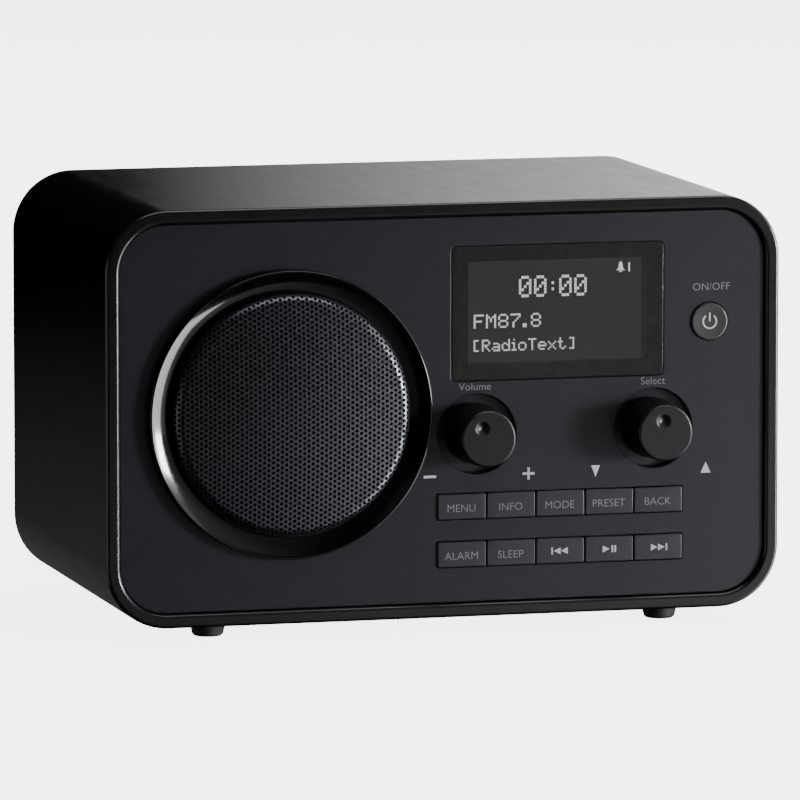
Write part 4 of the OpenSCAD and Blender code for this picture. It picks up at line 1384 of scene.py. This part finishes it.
@dataclass
class RearPanel:
    """The moulded back with its openings, screw holes included, its port and printed words."""

    corner_r: float = 17.25 * MM
    lip: float = 0.35 * MM
    thick: float = 3 * MM
    edge_round: float = 0.5 * MM
    lip_land: float = 0.3 * MM
    rim_land: float = 0.4 * MM
    screw_hole: float = 1.6 * MM
    nose_hole: float = 3.7 * MM
    inlet_hole: float = 9.2 * MM
    inlet_corner: float = 0.3 * MM
    port_wall_r: float = 16 * MM
    port_wall: float = 2 * MM
    port_flange_t: float = 1 * MM
    port_flare: float = 2.4 * MM
    port_edge: float = 0.5 * MM
    word_cap: float = 1.7 * MM
    word_up: float = 8.2 * MM
    at: Place = Place("rear_panel")

    def openings(self) -> list[Outline]:
        """Returns: the openings for the sockets, the inlet, the port and the screws."""
        inlet = Outline(*Place("power_inlet").centre, self.inlet_hole, self.inlet_hole, self.inlet_corner, 3)
        return [
            Place("headphone_jack").disc(self.nose_hole, 12), Place("line_in_jack").disc(self.nose_hole, 12),
            inlet, Place("bass_port").disc(self.port_wall_r, 24),
            *[disc(x, z, self.screw_hole, 8) for x, z in Screws().places()],
        ]

    def build(self) -> None:
        """Builds the plate, with a rounded wall at each opening, and its printed words."""
        y1 = self.at.back
        y0 = y1 - self.thick
        inset = self.lip + self.lip_land
        land = inset + self.rim_land
        outer = self.at.frame(self.corner_r, 16)
        shell = Shell()
        shell.grid(outer.carried(softened([
            (-land, y1, 0), (0, y1, self.edge_round), (0, y0, 0), (-land, y0, 0)])))
        for hole in self.openings():
            shell.grid(hole.carried(softened([
                (inset, y1, 0), (0, y1, self.lip), (0, y0, 0), (inset, y0, 0)])))
        for y in (y0, y1):
            shell.plate(outer.loop(-land), [(hole, inset) for hole in self.openings()], y)
        place(shell.build("rear_cover"), "housing", "rear_plastic", "rear_panel")
        self._port()
        self._words(y1)

    def _port(self) -> None:
        """Builds the bass port: a tube with a flared mouth, turned about its axis."""
        at = Place("bass_port")
        outer, wall, edge = at.size[0] / 2, self.port_wall_r, self.port_edge
        bore, y1 = wall - self.port_wall, at.back
        under = y1 - self.port_flange_t
        line = softened([
            (bore, at.front, edge), (bore, y1, self.port_flare), (outer, y1, edge), (outer, under, 0),
            (wall, under, 0), (wall, at.front, edge)], closed=True, steps=8)
        shell = Shell()
        shell.grid(at.disc(bore, 28).carried(line - np.array([bore, 0])))
        place(shell.build("port_tube"), "housing", "rear_plastic", "bass_port")

    def _words(self, face: float) -> None:
        """Prints the sockets' words, which read the right way round from behind."""
        words = {"headphone_jack": "PHONES", "line_in_jack": "LINE IN", "power_inlet": "DC IN"}
        for node, word in words.items():
            at = Place(node)
            ink = lettering(node + "_word", word, at.middle[0], at.middle[2] + self.word_up, self.word_cap,
                            face + Legends.ink, face - Legends.ink_back, 0.008)
            flat = vertices(ink.data)
            flat[:, 0] = 2 * at.middle[0] - flat[:, 0]
            ink.data.vertices.foreach_set("co", flat.ravel())
            cleaned(ink.data, MERGE / 2)
            place(ink, "housing", "rear_plastic", finish=PALETTE.legend_ink)


@dataclass
class Screws:
    """Cross-recessed screw heads, seen at the back."""

    head_r: float = 2.8 * MM
    shank_r: float = 1.5 * MM
    arm: float = 1.5 * MM
    slot: float = 0.32 * MM
    deep: float = 0.75 * MM
    flat_r: float = 1.9 * MM
    dome: float = 0.45 * MM
    dome_round: float = 0.4 * MM
    head_h: float = 0.9 * MM
    tip: float = 1 * MM
    at: Place = Place("rear_screws")

    def places(self) -> list[tuple[float, float]]:
        """Returns: the four screws' (x, z) places."""
        low, high = self.at.low, self.at.high
        return [(x, z) for x in (low[0] + self.head_r, high[0] - self.head_r)
                for z in (low[2] + self.head_r, high[2] - self.head_r)]

    def cross(self) -> Array:
        """Returns: the recess's twelve-cornered outline about its middle."""
        a, s = self.arm, self.slot
        quarter = np.array([(s, s), (s, a), (-s, a)])
        turn = [np.array([[math.cos(t), math.sin(t)], [-math.sin(t), math.cos(t)]])
                for t in (0, math.pi / 2, math.pi, 1.5 * math.pi)]
        return np.vstack([quarter @ t for t in turn])

    def build(self) -> None:
        """Builds the four rear screws: a domed head, turned, with the recess sunk in its flat middle."""
        y1, under = self.at.back, self.at.back - self.head_h
        cross = self.cross()
        shell = Shell()
        side = softened([
            (self.flat_r, y1, 0), (self.head_r, y1 - self.dome, self.dome_round), (self.head_r, under, 0),
            (self.shank_r, under, 0), (self.shank_r, self.at.front + self.tip, 0), (0, self.at.front, 0)])
        for x, z in self.places():
            shell.grid(disc(x, z, self.head_r, 10).carried(side - np.array([self.head_r, 0])))
            self._recess(shell, disc(x, z, self.flat_r, 10).loop(), cross + np.array([x, z]), y1)
        place(shell.build("rear_cover_screws"), "housing", "screw_steel", "rear_screws")

    def _recess(self, shell: Shell, ring: Array, cross: Array, y: float) -> None:
        """Adds the head's flat face with the recess's walls and floor.

        Args:
            shell: the mesh it joins.
            ring: the flat's (x, z) outline.
            cross: the recess's (x, z) outline.
            y: the flat's depth.
        """
        edges = np.vstack([ring_edges(len(ring)), ring_edges(len(cross), len(ring))])
        flat, faces = triangulated(np.vstack([ring, cross]), edges)
        off = np.abs(flat[faces].mean(1) - cross.mean(0))
        inside = (off.min(1) < self.slot) & (off.max(1) < self.arm)
        shell.add(upright(flat, y), faces[~inside])
        top = upright(cross, y)
        low = top - np.array([0, self.deep, 0])
        shell.grid(np.stack([top, low]))
        shell.cap(low)


@dataclass
class Antenna:
    """The folding telescopic antenna: four turned tubes along X and the knuckle on the widest."""

    tube_r: tuple[float, ...] = (3.25 * MM, 2.8 * MM, 2.35 * MM, 1.9 * MM)
    wall: float = 0.4 * MM
    knuckle_r: float = 3.2 * MM
    knuckle_h: float = 6.4 * MM
    cap_l: float = 6 * MM
    tube_from: float = 5 * MM
    plug: float = 1.5 * MM
    groove: tuple[float, ...] = (1.6 * MM, 1.2 * MM, 0.8 * MM)
    groove_deep: float = 0.12 * MM
    cap_groove: tuple[float, ...] = (2.6 * MM, 2.2 * MM, 1.8 * MM)
    cap_groove_deep: float = 0.35 * MM
    flat_half: float = 2.35 * MM
    flat_over: float = 1 * MM

    def turned_x(self, line: Array, y: float, z: float, steps: int = 40) -> Array:
        """A profile of (radius, x) rows turned about a line along X at (y, z). Returns: the grid."""
        turn = np.arange(steps) * (2 * math.pi / steps)
        radius, along = line[:, 0, None], line[:, 1, None]
        return np.stack([along + 0 * turn, y + radius * np.cos(turn), z + radius * np.sin(turn)], -1)

    def build(self) -> None:
        """Builds the sections from the widest to the rod, with the knuckle on the widest."""
        outer = Place("mast_outer")
        y, z = outer.back - self.tube_r[0], outer.middle[2]
        pivot = outer.high[0] - self.knuckle_r
        bodies = ("antenna_mast", "antenna_second", "antenna_third", "antenna_inner")
        nodes = ("mast_outer", "mast_second", "mast_third", "mast_inner")
        for i, (node, body) in enumerate(zip(nodes, bodies)):
            at = Place(node)
            far = at.low[0]
            near = pivot - self.tube_from if i == 0 else at.high[0]
            r = self.tube_r[i]
            shell = Shell()
            if i < 3:
                start, deep, stop = self.groove
                bore, floor = r - self.wall, near - self.plug
                line = softened([
                    (0, near, 0), (r, near, 0.5 * MM), (r, far + start, 0.1 * MM),
                    (r - self.groove_deep, far + deep, 0.2 * MM), (r, far + stop, 0.2 * MM),
                    (r, far, 0.25 * MM), (bore, far, 0.1 * MM), (bore, floor, 0), (0, floor, 0)],
                    guard=0.05 * MM)
            else:
                start, deep, stop = self.cap_groove
                cap = self.tube_r[0]
                line = softened([
                    (0, near, 0), (r, near, 0.3 * MM), (r, far + self.cap_l, 0),
                    (cap, far + self.cap_l, 0.4 * MM), (cap, far + start, 0.2 * MM),
                    (cap - self.cap_groove_deep, far + deep, 0.2 * MM),
                    (cap, far + stop, 0.2 * MM), (cap, far, 1.1 * MM), (0, far, 0)], guard=0.05 * MM)
            shell.grid(self.turned_x(line, y, z))
            if i == 0:
                self._knuckle(shell, pivot, y, z, near)
            place(shell.build(node + "_tube"), body, "antenna_chrome", node)

    def _knuckle(self, shell: Shell, x: float, y: float, z: float, near: float) -> None:
        """Adds the flat-sided knuckle that the mast turns on: a slot-shaped outline in X and Y,
        carried along Z with rounded edges.

        Args:
            shell: the mesh it joins.
            x: the turning point.
            y: the mast's axis in Y.
            z: the mast's axis in Z.
            near: where the tube starts.
        """
        r = self.knuckle_r
        turn = np.linspace(-math.pi / 2, math.pi / 2, 17)
        bow = np.stack([x + r * np.cos(turn), y + r * np.sin(turn)], -1)
        flat, right, left = self.flat_half, near + self.flat_over, near - self.flat_over
        outline = np.vstack([bow, [(right, y + flat), (left, y + flat), (left, y - flat), (right, y - flat)]])
        middle = outline.mean(0)
        height = np.array([-0.5, -0.5, -0.47, 0.47, 0.5, 0.5]) * self.knuckle_h
        scale = np.array([0.0, 0.97, 1.0, 1.0, 0.97, 0.0])[:, None, None]
        flat_rows = middle + (outline - middle) * scale
        depth = np.broadcast_to(z + height[:, None], flat_rows.shape[:2])
        shell.grid(np.concatenate([flat_rows, depth[..., None]], -1))


# ---------------------------------------------------------------- what is left, stage and camera


class Innards:
    """The frame's own nodes that stay as they are: each gets its slot's finish."""

    def dress(self) -> None:
        """Puts each node's finish into all of its material slots."""
        slots = {part["node"]: part["material_slot"] for part in frame["record"]["subparts"]}
        for name, piece in frame["nodes"].items():
            made = PALETTE.of_slot(slots[name]).material()
            if not piece.material_slots:
                piece.data.materials.append(made)
            for holder in piece.material_slots:
                holder.material = made
            LOG.info("%s keeps its shape in %s", name, made.name)


@dataclass(frozen=True)
class Ramp:
    """A card's brightness: it goes evenly from low at start to high at stop, along one axis."""

    axis: str
    start: float
    stop: float
    low: float
    high: float

    def material(self, name: str) -> bpy.types.Material:
        """Args: name: the material's name. Returns: the glowing material."""
        made = bpy.data.materials.new(name)
        tree = NodeTree(made)
        parts = tree.node("ShaderNodeSeparateXYZ")
        tree.join(tree.place((1, 1, 1)), parts.inputs["Vector"])
        span = tree.node("ShaderNodeMapRange")
        for key, value in (("From Min", self.start), ("From Max", self.stop), ("To Min", self.low),
                           ("To Max", self.high)):
            span.inputs[key].default_value = value
        tree.join(parts.outputs[self.axis], span.inputs["Value"])
        glow = tree.node("ShaderNodeEmission")
        tree.join(span.outputs["Result"], glow.inputs["Strength"])
        tree.join(glow.outputs["Emission"], tree.tree.nodes["Material Output"].inputs["Surface"])
        return made


# name, place, the point it faces, its side, its power in watts, its beam in degrees
LAMPS = (
    ("key", (1.05, -0.78, 0.11), (0.0, -0.07, 0.07), 0.25, 1.7, 60.0),
    ("top", (0.1, -0.35, 2.2), (0, 0, 0.1), 1.6, 15.0, 180.0),
    ("fill", (-1.2, -1.8, 1.2), (0, 0, 0.1), 1.2, 0.3, 180.0),
    ("back", (1.0, 1.7, 1.0), (0, 0.07, 0.08), 1.0, 16.0, 180.0),
)

# name, first corner, first side, second side, brightness
CARDS = (
    ("top card", (-0.3, 0.7, 0.1), (1.8, 0, 0), (0, 0, 0.5), Ramp("X", 0.06, 0.42, 0.0, 1.3)),
    ("side card", (0.74, -1.55, -1.1), (1.0, 1.1, 0), (0, 0, 2.0), Ramp("Z", -0.15, 0.5, 8.4, 1.0)),
    ("front card", (-0.2, -0.6, 0.02), (0.8, 0, 0), (0, 0, 0.53), Ramp("X", 0.0, 0.35, 0.0, 0.3)),
    ("middle card", (-0.2, -0.6, -0.17), (0.8, 0, 0), (0, 0, 0.19), Ramp("X", -0.06, 0.35, 0.08, 0.9)),
    ("under card", (-0.2, -0.6, -0.4), (0.8, 0, 0), (0, 0, 0.23), Ramp("X", -0.05, 0.35, 0.05, 0.55)),
    ("left card", (-1.3, -1.1, -0.6), (0, 2.0, 0), (0, 0, 0.9), Ramp("Z", -0.6, 0.3, 0.35, 0.6)),
    ("low card", (-0.9, 0.6, -0.35), (0.9, 0, 0), (0, 0, 0.45), Ramp("Z", -0.1, 0.05, 0.08, 0.0)),
    ("edge card", (0.9, -0.25, 0.0), (0, 0.6, 0), (0, 0, 0.85), Ramp("Z", 0.0, 0.4, 0.3, 5.0)),
    ("crown card", (0.1, -0.5, 1.0), (0.5, 0, 0), (0, 0.6, 0), Ramp("X", 0.1, 0.6, 3.0, 3.0)),
    ("glint card", (0.85, -0.46, -0.15), (0.05, 0.2, 0), (0, 0, 0.35), Ramp("Z", -0.15, 0.2, 9.0, 9.0)),
)


@dataclass
class Studio:
    """A pale floor, soft lights and the camera."""

    yaw: float = 15.031
    pitch: float = -7.21
    lens: float = 398.96
    distance: float = 3.173483
    aim: tuple[float, float, float] = (-17.046 * MM, 0.0, 84.583 * MM)
    floor_half: float = 12.0

    def build(self) -> None:
        """Builds the camera, the floor, the surrounding light, the lamps and the cards."""
        self._camera()
        self._floor()
        self._world()
        for lamp in LAMPS:
            self._lamp(*lamp)
        for card in CARDS:
            self._card(*card)

    def _camera(self) -> None:
        """Places the camera on the line of sight through the aim point on the front rim."""
        yaw, pitch = math.radians(self.yaw), math.radians(self.pitch)
        sight = np.array([math.sin(yaw) * math.cos(pitch), math.cos(yaw) * math.cos(pitch), math.sin(pitch)])
        aim = np.array(self.aim) + np.array([0, Place("cabinet").front, 0])
        data = bpy.data.cameras.new("camera")
        data.lens = self.lens
        data.sensor_width = 36.0
        data.clip_end = 60.0
        camera = linked("camera", data)
        camera.location = aim - sight * self.distance
        camera.rotation_euler = Vector(sight).to_track_quat("-Z", "Y").to_euler()
        bpy.context.scene.camera = camera

    def _floor(self) -> None:
        """Lays the plain pale floor."""
        half = self.floor_half
        shell = Shell()
        corner = np.array([(-1, -1, 0), (1, -1, 0), (1, 1, 0), (-1, 1, 0)], float) * half
        shell.cap(corner)
        floor = shell.build("floor")
        pale = Finish("pale floor", (0.9, 0.9, 0.9), 0.8, Pattern.MOULDED, 20 * MM, 0.01 * MM, 0.01, glow=5.0)
        floor.data.materials.append(pale.material())
        floor.visible_glossy = False
        floor.visible_diffuse = False

    def _world(self) -> None:
        """Surrounds the scene with even pale light that glossy surfaces don't mirror."""
        world = bpy.data.worlds.new("studio")
        world.use_nodes = True
        back = world.node_tree.nodes["Background"]
        back.inputs["Color"].default_value = (0.95, 0.96, 1.0, 1)
        back.inputs["Strength"].default_value = 0.16
        world.cycles_visibility.glossy = False
        bpy.context.scene.world = world

    def _lamp(self, name: str, at: tuple[float, float, float], aim: tuple[float, float, float],
              side: float, power: float, spread: float) -> None:
        """Hangs one soft lamp.

        Args:
            name: the lamp's name.
            at: its place.
            aim: the point that it faces.
            side: the side of its square.
            power: its power in watts.
            spread: its beam's angle in degrees.
        """
        data = bpy.data.lights.new(name, "AREA")
        data.spread = math.radians(spread)
        data.shape = "SQUARE"
        data.size = side
        data.energy = power
        lamp = linked(name, data)
        lamp.location = at
        lamp.rotation_euler = (Vector(aim) - Vector(at)).to_track_quat("-Z", "Y").to_euler()
        lamp.visible_camera = False

    def _card(self, name: str, corner: tuple[float, float, float], across: tuple[float, float, float],
              up: tuple[float, float, float], ramp: Ramp) -> None:
        """Stands a soft card that only glossy surfaces mirror.

        Args:
            name: the card's name.
            corner: its first corner.
            across: its first side.
            up: its second side.
            ramp: how brightly it shines from place to place.
        """
        start, a, b = np.array(corner), np.array(across), np.array(up)
        shell = Shell()
        shell.cap(start + np.stack([0 * a, a, a + b, b]))
        card = shell.build(name.replace(" ", "_"))
        card.data.materials.append(ramp.material(name))
        card.visible_camera = False
        card.visible_diffuse = False
        card.visible_shadow = False


def main() -> None:
    """Builds the stage and the radio."""
    logging.basicConfig(level=logging.INFO, format="%(message)s")
    Studio().build()
    Innards().dress()
    Cabinet().build()
    FrontPanel().build()
    Feet().build()
    SpeakerTrim().build()
    Grille().build()
    Display().build()
    Dial("volume_dial_knob", "volume_knob", "volume_dial", 120.0).build()
    Dial("select_dial_knob", "select_knob", "select_dial", 100.0).build()
    KeyPad().build()
    PowerButton().build()
    Legends().build()
    RearPanel().build()
    Screws().build()
    Antenna().build()


if __name__ == "__main__":
    main()
